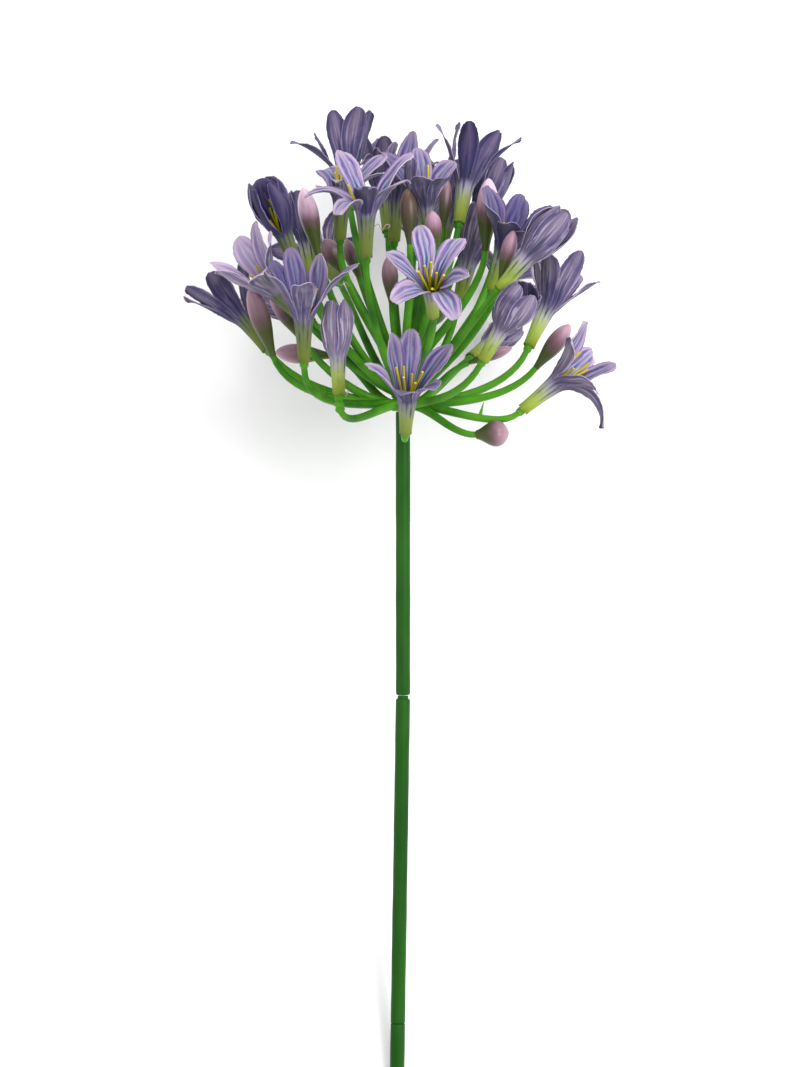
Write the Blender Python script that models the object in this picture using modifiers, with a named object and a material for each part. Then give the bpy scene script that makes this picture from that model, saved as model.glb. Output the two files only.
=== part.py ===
"""Agapanthus flower head on its stem, laid down.

An artificial spray: fabric corollas and moulded buds on plastic stalks. The stalks grow out of three
whorls threaded on a pin at the top of a stem made in three lengths.

The pieces are placed in the spray's own space, which an empty then lays down on the ground:
+X is the side to the right, +Y runs up along the stem, and +Z faces the front. The hub, where the
stalks meet, is its origin. The ground is the world's Z = 0.
"""

import math

import bmesh
import bpy
from mathutils import Matrix, Quaternion, Vector

MM = 0.001

# Stands a piece that is turned about its own Z up along the stem
UPRIGHT = Matrix.Rotation(-math.pi / 2, 4, "X")

# How the spray lies: the stem's end and the petals of the back florets touch the ground.
LAY_TILT = math.radians(12.3)
HUB_PLACE = Vector((2.2, 89.4, 70.3)) * MM

# The stem
STEM_RADIUS = 3.25 * MM
PIN_SHOULDER = -12.0 * MM
PIN_RADIUS = 2.2 * MM
PIN_TOP = 5.0 * MM
FIRST_JOINT = -139.5 * MM
SECOND_JOINT = -287.0 * MM
STEM_END = -315.0 * MM
STEM_LEAN = math.radians(0.9)
PEG_RADIUS = 1.7 * MM
PEG_LENGTH = 11.0 * MM
SOCKET_RADIUS = 2.2 * MM
SOCKET_DEPTH = 12.0 * MM
NECK_RADIUS = 2.45 * MM
NECK_LENGTH = 1.2 * MM
END_CHAMFER = 0.8 * MM
STEM_SIDES = 16

# Between pieces that touch on the real thing, and between points that are one
GAP = 0.3 * MM
MERGE = 0.01 * MM
WELD = 0.001 * MM

# The whorls
COLLAR_BORE = 2.5 * MM
COLLAR_RADIUS = 5.2 * MM
COLLAR_HEIGHT = 5.6 * MM
COLLAR_BOTTOMS = {"lower": -11.7 * MM, "middle": -5.8 * MM, "upper": 1.6 * MM}
CROWN_ROOF = 1.6 * MM
STALK_RADIUS = 1.4 * MM
STALK_STEPS = 7
STALK_BEVEL_STEPS = 1
STALK_SWELL = 1.12
STALK_HANDLE = 0.3
# For each whorl: how far from the axis a stalk starts, how high in the collar, and how far its first
# stretch leans from straight at its flower towards square to the stem.
STALK_STARTS = {
    "lower": (3.6 * MM, 0.5, 0.8),
    "middle": (3.7 * MM, 0.5, 0.45),
    "upper": (2.4 * MM, 0.75, 0.1),
}
# The widest angle from the stem's own way at which a whorl carries flowers
WHORL_ANGLES = (("upper", math.radians(32)), ("middle", math.radians(65)), ("lower", math.pi))

# The corolla, whose length runs up its axis from the open end of the tube
TUBE_SIDES = 12
TUBE_RADIUS = 2.6 * MM
MOUTH_RADIUS = 4.0 * MM
MOUTH_HEIGHT = 19.0 * MM
FABRIC = 0.5 * MM
PETALS = 6
PETAL_LENGTH = 29.0 * MM
PETAL_WIDTH = 10.0 * MM
PETAL_TIP = 3.6 * MM
PETAL_ROWS = (0.36, 0.74, 1.0)
PETAL_WIDEST = 0.66
MOST_OF_RING = 0.86
# How far a petal leans outwards at its foot and at its tip, in degrees, when closed and when open
CLOSED_LEAN = (14, -22)
OPEN_LEAN = (10, 88)
LEAN_STEPS = 24
LEAN_POWER = 1.2
# Edges of the mouth whose middles look this near a petal's own way belong to that petal
SAME_PETAL = 0.9
STALK_IN_TUBE = 4.0 * MM
STALK_BELOW_TUBE = 3.0 * MM

# The stamens
PLUG_RADIUS = 1.3 * MM
PLUG_HEIGHT = 3.5 * MM
FILAMENTS = 6
FILAMENT_BEVEL_STEPS = 0
FILAMENT_RADIUS = 0.4 * MM
FILAMENT_TIP = 1.7
FILAMENT_PATH = ((0.7 * MM, 6.0 * MM), (1.3 * MM, 20.0 * MM), (2.8 * MM, 30.0 * MM), (4.6 * MM, 36.0 * MM))

# The bud's outline: radius as a share of its greatest, and height as a share of its length
BUD_OUTLINE = ((0.0, 1.0), (0.5, 0.94), (0.92, 0.75), (1.0, 0.58), (0.82, 0.32), (0.34, 0.0), (0.0, 0.0))
BUD_SIDES = 8

# Each floret: the place of the tube's open end (side, up, front) in millimetres, the way that it looks
# (side, up, front), how far open it is from 0 to 1, its size, the turn of its petals in degrees, and
# how far its stalk runs straight behind it, as a share of the stalk's length.
FLORETS = {
    "01": ((-24, 82, -13), (-0.10, 0.80, -0.57), 0.75, 1.0, 0, 0.3),
    "02": ((-16, 53, 52), (0.00, 0.94, 0.34), 1.0, 1.0, 0, 0.3),
    "03": ((-28, 65, 14), (0.05, 0.86, 0.50), 0.85, 0.95, 0, 0.3),
    "04": ((-46, 49, 30), (-0.36, 0.88, 0.31), 0.12, 0.95, 0, 0.3),
    "05": ((-41, 49, -3), (-0.17, 0.98, 0.09), 0.0, 0.85, 0, 0.3),
    "06": ((-45, 29, 17), (-0.64, 0.61, 0.47), 0.85, 1.0, 0, 0.3),
    "07": ((-61, 16, 0), (-0.54, 0.73, -0.42), 0.75, 1.0, 0, 0.35),
    "08": ((-43, 8, 50), (0.00, 0.93, 0.37), 0.95, 1.0, 0, 0.35),
    "09": ((-28, -6, 45), (-0.03, 0.99, 0.14), 0.0, 0.88, 0, 0.35),
    "10": ((13, 28, 50), (-0.04, 0.56, 0.83), 1.0, 1.0, 25, 0.3),
    "11": ((1, -23, 48), (0.04, 0.74, 0.67), 0.95, 1.0, 0, 0.12),
    "12": ((25, 72, 7), (0.15, 0.92, -0.37), 0.7, 1.0, 0, 0.3),
    "13": ((-4, 66, -10), (0.06, 0.96, 0.26), 0.8, 0.95, 0, 0.3),
    "14": ((-7, 73, -44), (-0.05, 0.94, -0.34), 0.5, 0.95, 0, 0.3),
    "15": ((11, 62, 15), (-0.07, 0.90, 0.42), 0.75, 0.95, 0, 0.3),
    "16": ((28, 63, -24), (0.38, 0.92, -0.09), 0.1, 0.95, 0, 0.3),
    "17": ((40, 43, 8), (0.27, 0.84, 0.47), 0.75, 1.0, 0, 0.3),
    "18": ((42, 40, 41), (0.66, 0.75, 0.09), 0.08, 0.97, 0, 0.3),
    "19": ((57, 18, -8), (0.40, 0.86, -0.31), 0.65, 1.0, 0, 0.35),
    "20": ((35, 9, 42), (0.47, 0.80, 0.37), 0.1, 0.86, 0, 0.35),
    "21": ((53, -12, 25), (0.76, 0.60, 0.26), 0.95, 0.97, 0, 0.24),
    "22": ((17, 61, -24), (0.20, 0.96, -0.17), 0.1, 0.95, 0, 0.3),
    "23": ((25, 37, -5), (0.22, 0.95, -0.15), 0.0, 1.0, 0, 0.3),
    "24": ((-30, 50, -40.6), (-0.30, 0.50, -0.81), 0.8, 0.95, 0, 0.3),
    "25": ((40, 45, -39.1), (0.35, 0.45, -0.82), 0.8, 0.95, 0, 0.3),
    "26": ((5, 62, -44), (0.05, 0.65, -0.76), 0.6, 0.95, 0, 0.3),
    "27": ((-42, 30, -30), (-0.62, 0.36, -0.70), 0.1, 0.86, 0, 0.3),
    "28": ((31, 14, -34), (0.50, 0.40, -0.77), 0.1, 0.86, 0, 0.3),
}
FLORETS_WITH_STAMENS = ("02", "06", "08", "10", "11", "15", "21")

# Each bud: the place of its base and the way that it looks, as above, its length and greatest
# thickness in millimetres, and the straight share of its stalk.
BUDS = {
    "01": ((-38, 58, 20), (-0.22, 0.98, 0.09), 29, 9.2, 0.3),
    "02": ((-27, 51, -2), (-0.50, 0.87, 0.17), 17, 9.5, 0.3),
    "03": ((-58, 13, 22), (-0.31, 0.95, 0.09), 31, 9.3, 0.35),
    "04": ((-46, 21, 8), (-0.55, 0.83, 0.09), 24, 7.6, 0.35),
    "05": ((-34, 14, -12), (-1.00, 0.06, 0.00), 24, 9.1, 0.35),
    "06": ((-5, 36, 12), (-0.07, 1.00, 0.17), 21, 7.6, 0.3),
    "07": ((3, 61, 30), (-0.04, 1.00, 0.09), 24, 7.9, 0.3),
    "08": ((37, 61, 8), (0.04, 1.00, 0.10), 31, 10.0, 0.3),
    "09": ((43, 45, 34), (0.25, 0.97, 0.14), 22, 7.1, 0.3),
    "10": ((15, 59, 27), (-0.16, 0.99, 0.26), 17, 7.5, 0.3),
    "11": ((18, 71, -2), (0.08, 1.00, 0.00), 22, 6.3, 0.3),
    "12": ((11, 81, -12), (0.08, 1.00, -0.09), 22, 6.8, 0.3),
    "13": ((60, 8, 5), (0.62, 0.79, 0.09), 24, 8.5, 0.35),
    "14": ((30, 11, -18), (0.94, 0.33, 0.00), 21, 5.5, 0.35),
    "15": ((33, -23, 22), (1.00, 0.06, 0.17), 14, 12.0, 0.3),
    "16": ((43, 63, -12), (0.18, 0.98, 0.00), 20, 6.3, 0.3),
    "17": ((-20, 50, -15), (-0.33, 0.94, 0.00), 18, 7.3, 0.3),
    "18": ((-5, 2, -36), (-0.10, 0.30, -0.95), 20, 8.0, 0.3),
    "19": ((14, 30, -42), (0.20, 0.50, -0.84), 22, 8.0, 0.3),
}


def clear_scene():
    for thing in list(bpy.data.objects):
        bpy.data.objects.remove(thing)


def collection(name, shown=True):
    made = bpy.data.collections.new(name)
    made.hide_render = not shown
    bpy.context.scene.collection.children.link(made)
    return made


def material(name, colour, roughness):
    made = bpy.data.materials.new(name)
    made.use_nodes = True
    shader = made.node_tree.nodes["Principled BSDF"]
    shader.inputs["Base Color"].default_value = (*colour, 1.0)
    shader.inputs["Roughness"].default_value = roughness
    shader.inputs["Metallic"].default_value = 0.0
    made.diffuse_color = (*colour, 1.0)
    return made


def add_object(name, data, group, parent, finish=None, place=None):
    """A new object of this mesh or curve, at a place in the spray's own space."""
    made = bpy.data.objects.new(name, data)
    group.objects.link(made)
    made.parent = parent
    if place is not None:
        made.matrix_local = place
    if finish is not None:
        data.materials.append(finish)
    return made


def mesh_of(thing):
    """The evaluated shape of an object as a new mesh, in the object's own space, its caps welded on."""
    bpy.context.view_layer.update()
    graph = bpy.context.evaluated_depsgraph_get()
    mesh = bpy.data.meshes.new_from_object(thing.evaluated_get(graph))
    bm = bmesh.new()
    bm.from_mesh(mesh)
    bmesh.ops.remove_doubles(bm, verts=bm.verts, dist=WELD)
    bm.to_mesh(mesh)
    bm.free()
    return mesh


def tube_mesh(name, points, radius, sizes, resolution):
    """A closed round tube along the points, as a mesh."""
    curve = bpy.data.curves.new(name, "CURVE")
    curve.dimensions = "3D"
    curve.bevel_depth = radius
    curve.bevel_resolution = resolution
    curve.use_fill_caps = True
    spline = curve.splines.new("POLY")
    spline.points.add(len(points) - 1)
    for target, point, size in zip(spline.points, points, sizes):
        target.co = (*point, 1.0)
        target.radius = size
    thing = bpy.data.objects.new(name, curve)
    bpy.context.scene.collection.objects.link(thing)
    mesh = mesh_of(thing)
    mesh.name = name
    bpy.data.objects.remove(thing)
    return mesh


def union(target, meshes, helpers, parent):
    """Joins closed meshes to the target with one Boolean, which they stay in the file for."""
    joined = bpy.data.collections.new(f"{target.name}_pieces")
    helpers.children.link(joined)
    for mesh in meshes:
        helper = add_object(mesh.name, mesh, joined, parent)
        helper.hide_render = True
        helper.display_type = "WIRE"
    join = target.modifiers.new("Join", "BOOLEAN")
    join.operation = "UNION"
    join.solver = "EXACT"
    join.operand_type = "COLLECTION"
    join.collection = joined


def outline_mesh(name, outline, closed=False):
    """An outline (radius, height), from the top down its outer side, to be turned about its Z axis."""
    mesh = bpy.data.meshes.new(name)
    points = [(radius, 0.0, height) for radius, height in outline]
    edges = [(i, i + 1) for i in range(len(points) - 1)]
    if closed:
        edges.append((len(points) - 1, 0))
    mesh.from_pydata(points, edges, [])
    return mesh


def add_screw(thing, sides):
    screw = thing.modifiers.new("Turn", "SCREW")
    screw.axis = "Z"
    screw.steps = sides
    screw.render_steps = sides
    screw.use_merge_vertices = True
    screw.merge_threshold = MERGE
    screw.use_smooth_shade = True


def facing(place, aim, turn=0.0):
    """The place of a piece whose own Z looks along the aim, and whose own Y is turned to the front."""
    look = Vector(aim).normalized()
    swing = look.to_track_quat("Z", "Y") @ Quaternion((0, 0, 1), turn)
    return Matrix.Translation(place) @ swing.to_matrix().to_4x4()


def in_metres(place):
    return Vector(place) * MM


# The stem's three lengths
def socket_end(end):
    """The outline of a stem's lower end, from its outer side in to the roof of its socket."""
    return [
        (STEM_RADIUS, end + END_CHAMFER),
        (STEM_RADIUS - END_CHAMFER, end),
        (SOCKET_RADIUS, end),
        (SOCKET_RADIUS, end + SOCKET_DEPTH),
        (0.0, end + SOCKET_DEPTH),
    ]


def peg_end(top, neck_radius, neck_length):
    """The outline of a stem's upper end, from the peg's tip out to the full radius."""
    shoulder = top - neck_length
    return [
        (0.0, top + PEG_LENGTH),
        (PEG_RADIUS, top + PEG_LENGTH),
        (PEG_RADIUS, top),
        (neck_radius, top),
        (neck_radius, shoulder),
        (STEM_RADIUS, shoulder - END_CHAMFER),
    ]


def stem_outlines():
    upper = [
        (0.0, PIN_TOP),
        (PIN_RADIUS, PIN_TOP),
        (PIN_RADIUS, PIN_SHOULDER),
        (STEM_RADIUS, PIN_SHOULDER),
        *socket_end(FIRST_JOINT),
    ]
    seam_radius = STEM_RADIUS - END_CHAMFER
    middle_top = FIRST_JOINT - GAP
    middle = [*peg_end(middle_top, NECK_RADIUS, NECK_LENGTH), *socket_end(SECOND_JOINT)]
    lower_top = SECOND_JOINT - GAP
    lower = [*peg_end(lower_top, seam_radius, GAP), (STEM_RADIUS, STEM_END), (0.0, STEM_END)]
    return {"upper": upper, "middle": middle, "lower": lower}


def make_stem(group, spray, finish):
    """The lengths below the first joint lean a little to the left."""
    pivot = Matrix.Translation((0.0, FIRST_JOINT, 0.0))
    lean = pivot @ Matrix.Rotation(-STEM_LEAN, 4, "Z") @ pivot.inverted()
    for name, outline in stem_outlines().items():
        place = UPRIGHT if name == "upper" else lean @ UPRIGHT
        length = add_object(f"stem_{name}", outline_mesh(name, outline), group, spray, finish, place)
        add_screw(length, STEM_SIDES)


# The stalks and their whorls
def whorl_of(place):
    angle = Vector((0, 1, 0)).angle(Vector(place))
    return next(name for name, limit in WHORL_ANGLES if angle < limit)


def stalk_points(whorl, tip, look, straight, lead):
    """A smooth path from the whorl's collar to the tip, which it reaches along the way the flower looks."""
    radius, share, spread = STALK_STARTS[whorl]
    level = COLLAR_BOTTOMS[whorl] + share * COLLAR_HEIGHT
    foot = tip - look * lead
    outward = Vector((foot.x, 0.0, foot.z)).normalized()
    start = outward * radius + Vector((0.0, level, 0.0))
    reach = (foot - start).length
    first = ((foot - start).normalized() * (1 - spread) + outward * spread).normalized()
    handles = (start, start + first * STALK_HANDLE * reach, foot - look * straight * reach, foot)
    points = []
    for step in range(STALK_STEPS + 1):
        t = step / STALK_STEPS
        shares = ((1 - t) ** 3, 3 * t * (1 - t) ** 2, 3 * t * t * (1 - t), t**3)
        points.append(sum((h * s for h, s in zip(handles, shares)), Vector()))
    if lead > 0:
        points.append(tip)
    return points


def stalks():
    """Every stalk as its name, its whorl and its points."""
    found = []
    for name, (place, aim, _, _, _, straight) in FLORETS.items():
        look = Vector(aim).normalized()
        tip = in_metres(place) + look * STALK_IN_TUBE
        lead = STALK_IN_TUBE + STALK_BELOW_TUBE
        found.append((f"floret_stalk_{name}", place, tip, look, straight, lead))
    for name, (place, aim, _, _, straight) in BUDS.items():
        look = Vector(aim).normalized()
        found.append((f"bud_stalk_{name}", place, in_metres(place) - look * GAP, look, straight, 0.0))
    return [
        (name, whorl_of(place), stalk_points(whorl_of(place), tip, look, straight, lead))
        for name, place, tip, look, straight, lead in found
    ]


def collar_outline(whorl):
    bottom = COLLAR_BOTTOMS[whorl]
    top = bottom + COLLAR_HEIGHT
    if whorl == "upper":
        roof = top - CROWN_ROOF
        bore = [(COLLAR_BORE, bottom), (COLLAR_BORE, roof), (0.0, roof)]
        return [(0.0, top), (COLLAR_RADIUS, top), (COLLAR_RADIUS, bottom), *bore]
    return [(COLLAR_RADIUS, top), (COLLAR_RADIUS, bottom), (COLLAR_BORE, bottom), (COLLAR_BORE, top)]


def make_whorls(group, helpers, spray, finish):
    paths = stalks()
    for whorl in COLLAR_BOTTOMS:
        outline = collar_outline(whorl)
        profile = outline_mesh(whorl, outline, closed=whorl != "upper")
        collar = add_object(f"stalk_whorl_{whorl}", profile, group, spray, finish, UPRIGHT)
        add_screw(collar, STEM_SIDES)
        meshes = []
        for name, owner, points in paths:
            if owner != whorl:
                continue
            swell = [STALK_SWELL if i == 0 else 1.0 for i in range(len(points))]
            meshes.append(tube_mesh(name, points, STALK_RADIUS, swell, STALK_BEVEL_STEPS))
        union(collar, meshes, helpers, spray)


# The corollas
def petal_midline(openness, size):
    """For each row of a petal, the midline's distance from the axis, its height and its lean outwards."""
    start, end = (math.radians(a + (b - a) * openness) for a, b in zip(CLOSED_LEAN, OPEN_LEAN))
    radius, height = MOUTH_RADIUS * size, MOUTH_HEIGHT * size
    step = 1.0 / LEAN_STEPS
    rows, along = [], 0.0
    for target in PETAL_ROWS:
        while along < target - step / 2:
            lean = start + (end - start) * (along + step / 2) ** LEAN_POWER
            radius += math.sin(lean) * step * PETAL_LENGTH * size
            height += math.cos(lean) * step * PETAL_LENGTH * size
            along += step
        rows.append((radius, height, start + (end - start) * target**LEAN_POWER))
    return rows


def petal_width(along, radius, size):
    """The width at a share of the petal's length, never so wide that neighbours would meet."""
    if along < PETAL_WIDEST:
        share = math.sin(math.pi / 2 * along / PETAL_WIDEST)
        width = MOUTH_RADIUS + (PETAL_WIDTH - MOUTH_RADIUS) * share
    else:
        share = (along - PETAL_WIDEST) / (1 - PETAL_WIDEST)
        width = PETAL_WIDTH + (PETAL_TIP - PETAL_WIDTH) * share**2
    return min(width * size, MOST_OF_RING * radius)


def extrude(bm, edges):
    """Extrudes the edges and gives the new vertices and the new edges between them."""
    made = bmesh.ops.extrude_edge_only(bm, edges=edges)["geom"]
    verts = {part for part in made if isinstance(part, bmesh.types.BMVert)}
    return verts, [part for part in made if isinstance(part, bmesh.types.BMEdge) and set(part.verts) <= verts]


def extrude_petal(bm, edges, outward, openness, size):
    """Grows one petal, three vertices across, from two edges of the tube's mouth."""
    up = Vector((0.0, 0.0, 1.0))
    sideways = up.cross(outward)
    for along, (radius, height, lean) in zip(PETAL_ROWS, petal_midline(openness, size)):
        half = petal_width(along, radius, size) / 2
        inward = up * math.sin(lean) - outward * math.cos(lean)
        verts, edges = extrude(bm, edges)
        for vert in verts:
            offset = vert.co.dot(sideways)
            side = 0 if abs(offset) < MERGE else math.copysign(1, offset)
            gutter = side * side * half * half / (2 * radius)
            vert.co = outward * radius + up * height + sideways * side * half + inward * gutter


def corolla_mesh(name, openness, size):
    """The tube is a ring extruded upwards, and the petals are its mouth's edges extruded on."""
    bm = bmesh.new()
    bmesh.ops.create_circle(bm, segments=TUBE_SIDES, radius=TUBE_RADIUS)
    verts, mouth = extrude(bm, bm.edges[:])
    for vert in verts:
        across = vert.co.xy.normalized() * MOUTH_RADIUS * size
        vert.co = (across.x, across.y, MOUTH_HEIGHT * size)
    for petal in range(PETALS):
        angle = math.pi / 2 + math.tau * petal / PETALS
        outward = Vector((math.cos(angle), math.sin(angle), 0.0))
        middles = {edge: (edge.verts[0].co + edge.verts[1].co).xy.normalized() for edge in mouth}
        edges = [edge for edge, middle in middles.items() if middle.dot(outward.xy) > SAME_PETAL]
        extrude_petal(bm, edges, outward, openness, size)
    wall = next(iter(bm.faces))
    wall.normal_update()
    if wall.normal.dot(wall.calc_center_median()) < 0:
        bmesh.ops.reverse_faces(bm, faces=bm.faces)
    mesh = bpy.data.meshes.new(name)
    bm.to_mesh(mesh)
    bm.free()
    mesh.shade_smooth()
    return mesh


def make_corollas(group, spray, finish):
    for name, (place, aim, openness, size, turn, _) in FLORETS.items():
        mesh = corolla_mesh(f"corolla_{name}", openness, size)
        where = facing(in_metres(place), aim, math.radians(turn))
        corolla = add_object(f"corolla_{name}", mesh, group, spray, finish, where)
        wall = corolla.modifiers.new("Wall", "SOLIDIFY")
        wall.thickness = FABRIC
        wall.offset = -1.0


# The stamens
def stamen_mesh(helpers):
    """Filaments joined to the plug that stands on the tip of the stalk."""
    bm = bmesh.new()
    bmesh.ops.create_cone(
        bm, cap_ends=True, segments=BUD_SIDES, radius1=PLUG_RADIUS, radius2=PLUG_RADIUS, depth=PLUG_HEIGHT
    )
    bmesh.ops.translate(bm, verts=bm.verts, vec=(0, 0, STALK_IN_TUBE + GAP + PLUG_HEIGHT / 2))
    mesh = bpy.data.meshes.new("stamen_plug")
    bm.to_mesh(mesh)
    bm.free()
    plug = add_object("stamen_plug", mesh, helpers, None)
    plug.hide_render = True
    plug.display_type = "WIRE"
    filaments = []
    for number in range(FILAMENTS):
        angle = math.tau * number / FILAMENTS
        points = [(math.cos(angle) * r, math.sin(angle) * r, z) for r, z in FILAMENT_PATH]
        sizes = [1.0] * (len(points) - 1) + [FILAMENT_TIP]
        name = f"filament_{number + 1}"
        filaments.append(tube_mesh(name, points, FILAMENT_RADIUS, sizes, FILAMENT_BEVEL_STEPS))
    union(plug, filaments, helpers, None)
    return mesh_of(plug)


def make_stamens(group, helpers, spray, finish):
    mesh = stamen_mesh(helpers)
    mesh.materials.append(finish)
    for name in FLORETS_WITH_STAMENS:
        place, aim, _, _, turn, _ = FLORETS[name]
        where = facing(in_metres(place), aim, math.radians(turn))
        add_object(f"stamens_{name}", mesh, group, spray, place=where)


# The buds
def make_buds(group, spray, finish):
    for name, (place, aim, length, thickness, _) in BUDS.items():
        outline = [(share * thickness / 2 * MM, height * length * MM) for share, height in BUD_OUTLINE]
        mesh = outline_mesh(f"bud_{name}", outline)
        bud = add_object(f"bud_{name}", mesh, group, spray, finish, facing(in_metres(place), aim))
        add_screw(bud, BUD_SIDES)


def main():
    clear_scene()
    parts = collection("agapanthus_flower_head")
    helpers = collection("cutters", shown=False)
    spray = bpy.data.objects.new("spray_laid_down", None)
    parts.objects.link(spray)
    spray.location = HUB_PLACE
    spray.rotation_euler = (LAY_TILT, 0.0, 0.0)
    make_stem(parts, spray, material("stem_green", (0.03, 0.14, 0.02), 0.45))
    make_whorls(parts, helpers, spray, material("stalk_green", (0.06, 0.28, 0.03), 0.42))
    make_corollas(parts, spray, material("lilac_fabric", (0.26, 0.21, 0.52), 0.85))
    make_stamens(parts, helpers, spray, material("stamen_yellow", (0.6, 0.5, 0.05), 0.5))
    make_buds(parts, spray, material("bud_mauve", (0.3, 0.13, 0.22), 0.35))


main()
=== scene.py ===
# %% [markdown]
# # An agapanthus flower head, laid down
#
# The flower head is an artificial spray: fabric florets and moulded buds on plastic stalks, at the top of
# a stem made in three lengths. The frame holds its plain solids at their real size and place. Each step
# below makes the fine shape of one kind of piece, where its solid lies, and gives it its finish.
#
# Every piece is worked out in the spray's own space, where X is the side to the right, Y runs up along
# the stem and Z faces the front. The hub, where the stalks meet, is its origin.

import math
import random

import bmesh
import bpy
import numpy as np
from mathutils import Matrix, Quaternion, Vector
from mathutils.geometry import interpolate_bezier


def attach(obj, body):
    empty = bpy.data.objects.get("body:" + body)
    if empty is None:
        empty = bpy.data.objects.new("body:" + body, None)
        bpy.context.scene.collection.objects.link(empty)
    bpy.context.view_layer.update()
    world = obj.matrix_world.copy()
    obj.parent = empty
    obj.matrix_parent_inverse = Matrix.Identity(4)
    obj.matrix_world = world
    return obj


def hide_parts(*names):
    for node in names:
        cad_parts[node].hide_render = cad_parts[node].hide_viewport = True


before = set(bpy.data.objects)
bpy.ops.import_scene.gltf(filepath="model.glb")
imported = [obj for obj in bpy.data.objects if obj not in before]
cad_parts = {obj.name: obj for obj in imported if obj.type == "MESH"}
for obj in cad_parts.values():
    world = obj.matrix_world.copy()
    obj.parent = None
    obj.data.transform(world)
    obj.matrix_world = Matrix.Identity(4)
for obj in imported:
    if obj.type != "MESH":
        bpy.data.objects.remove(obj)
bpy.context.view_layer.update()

# %% [markdown]
# ## How the spray lies
#
# The spray lies on its back florets and on the end of its stem, so its own space is tilted a little. One
# matrix carries every piece from the spray's space to the surface it lies on. Working in the spray's own
# space first keeps each number easy to compare with the photograph, which faces the spray squarely.

# %% The spray's space
MM = 0.001
LAY_TILT = math.radians(12.3)
HUB_PLACE = Vector((2.2, 89.4, 70.3)) * MM
LAID = Matrix.Translation(HUB_PLACE) @ Matrix.Rotation(LAY_TILT, 4, "X")
UPRIGHT = Matrix.Rotation(-math.pi / 2, 4, "X")


def facing(place, aim, turn=0.0):
    """The matrix of a piece whose own Z looks along the aim, and whose own Y is turned to the front."""
    swing = Vector(aim).normalized().to_track_quat("Z", "Y") @ Quaternion((0, 0, 1), turn)
    return Matrix.Translation(Vector(place) * MM) @ swing.to_matrix().to_4x4()


print("the hub lies at", tuple(round(v, 4) for v in LAID.translation))

# %% [markdown]
# ## The camera
#
# The photograph looks squarely at the spray. The spray lies down here, so the camera looks down on it,
# from straight in front of its own space. One pixel of the photograph is 0.45 mm at the hub, which sets
# the lens. The function below gives the pixel at which the photograph shows a point.

# %% Camera
PHOTO_WIDTH = 800
PHOTO_HEIGHT = 1067
PIXEL = 0.45 * MM
CAMERA_AWAY = 1400 * MM
VIEW_SIDE = -1.35 * MM
VIEW_UP = -66.8 * MM
SENSOR = 36.0

lens_data = bpy.data.cameras.new("camera")
lens_data.sensor_fit = "HORIZONTAL"
lens_data.sensor_width = SENSOR
lens_data.lens = SENSOR * CAMERA_AWAY / (PHOTO_WIDTH * PIXEL)
lens_data.clip_end = 20.0
camera = bpy.data.objects.new("camera", lens_data)
bpy.context.scene.collection.objects.link(camera)
camera.location = LAID @ Vector((VIEW_SIDE, VIEW_UP, CAMERA_AWAY))
camera.rotation_euler = (LAY_TILT, 0.0, 0.0)
bpy.context.scene.camera = camera


def seen_at(places):
    """The pixels of the photograph at which it shows these places of the spray's space."""
    nearer = CAMERA_AWAY / (CAMERA_AWAY - places[..., 2])
    across = PHOTO_WIDTH / 2 + (places[..., 0] - VIEW_SIDE) / PIXEL * nearer
    down = PHOTO_HEIGHT / 2 - (places[..., 1] - VIEW_UP) / PIXEL * nearer
    return np.stack([across, down], axis=-1)


print("the lens is", round(lens_data.lens, 1), "mm, and the hub is seen at", seen_at(np.zeros(3)).round(1))

# %% [markdown]
# ## The floor and the light
#
# The photograph has a white background and soft light with a brighter right side. A pale floor, a pale
# sky and three broad lamps give that: a key from the right, a weaker fill from the left and a little
# light from the top. Broad lamps keep the shadows soft. The Standard view keeps the colours as they are.

# %% Floor and light
FLOOR_COLOUR = (0.95, 0.95, 0.95)
FLOOR_SIZE = 6.0
SKY_COLOUR = (1.0, 1.0, 1.0)
SKY_STRENGTH = 0.86
# Each lamp: its place (side, up, front) from the hub in metres, its size in metres and its power
LAMPS = {
    "key_lamp": ((0.75, 0.25, 1.05), 0.8, 12.5),
    "fill_lamp": ((-0.9, 0.1, 0.9), 0.9, 2.4),
    "top_lamp": ((0.1, 1.0, 0.7), 0.8, 4.0),
}

bpy.context.scene.view_settings.view_transform = "Standard"
bpy.ops.mesh.primitive_plane_add(size=FLOOR_SIZE)
floor = bpy.context.object
floor.name = "floor"
paint = bpy.data.materials.new("pale_floor")
paint.use_nodes = True
paint.node_tree.nodes["Principled BSDF"].inputs["Base Color"].default_value = (*FLOOR_COLOUR, 1.0)
paint.node_tree.nodes["Principled BSDF"].inputs["Roughness"].default_value = 0.8
floor.data.materials.append(paint)

sky = bpy.data.worlds.new("sky")
sky.use_nodes = True
sky.node_tree.nodes["Background"].inputs["Color"].default_value = (*SKY_COLOUR, 1.0)
sky.node_tree.nodes["Background"].inputs["Strength"].default_value = SKY_STRENGTH
bpy.context.scene.world = sky

for lamp_name, (lamp_place, lamp_size, power) in LAMPS.items():
    lamp_data = bpy.data.lights.new(lamp_name, "AREA")
    lamp_data.shape = "DISK"
    lamp_data.size = lamp_size
    lamp_data.energy = power
    lamp = bpy.data.objects.new(lamp_name, lamp_data)
    bpy.context.scene.collection.objects.link(lamp)
    lamp.location = LAID @ Vector(lamp_place)
    lamp.rotation_euler = (LAID.translation - lamp.location).to_track_quat("-Z", "Y").to_euler()
print("the floor is", FLOOR_SIZE, "m wide under", len(LAMPS), "lamps")

# %% [markdown]
# ## Working with one object at a time
#
# An operator acts on all that is selected, and the frame's solids come selected. So each step first
# selects its own object alone. A finished piece keeps its place in its mesh, rides on the body of the
# frame, and stands for the solid that it replaces.

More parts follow.
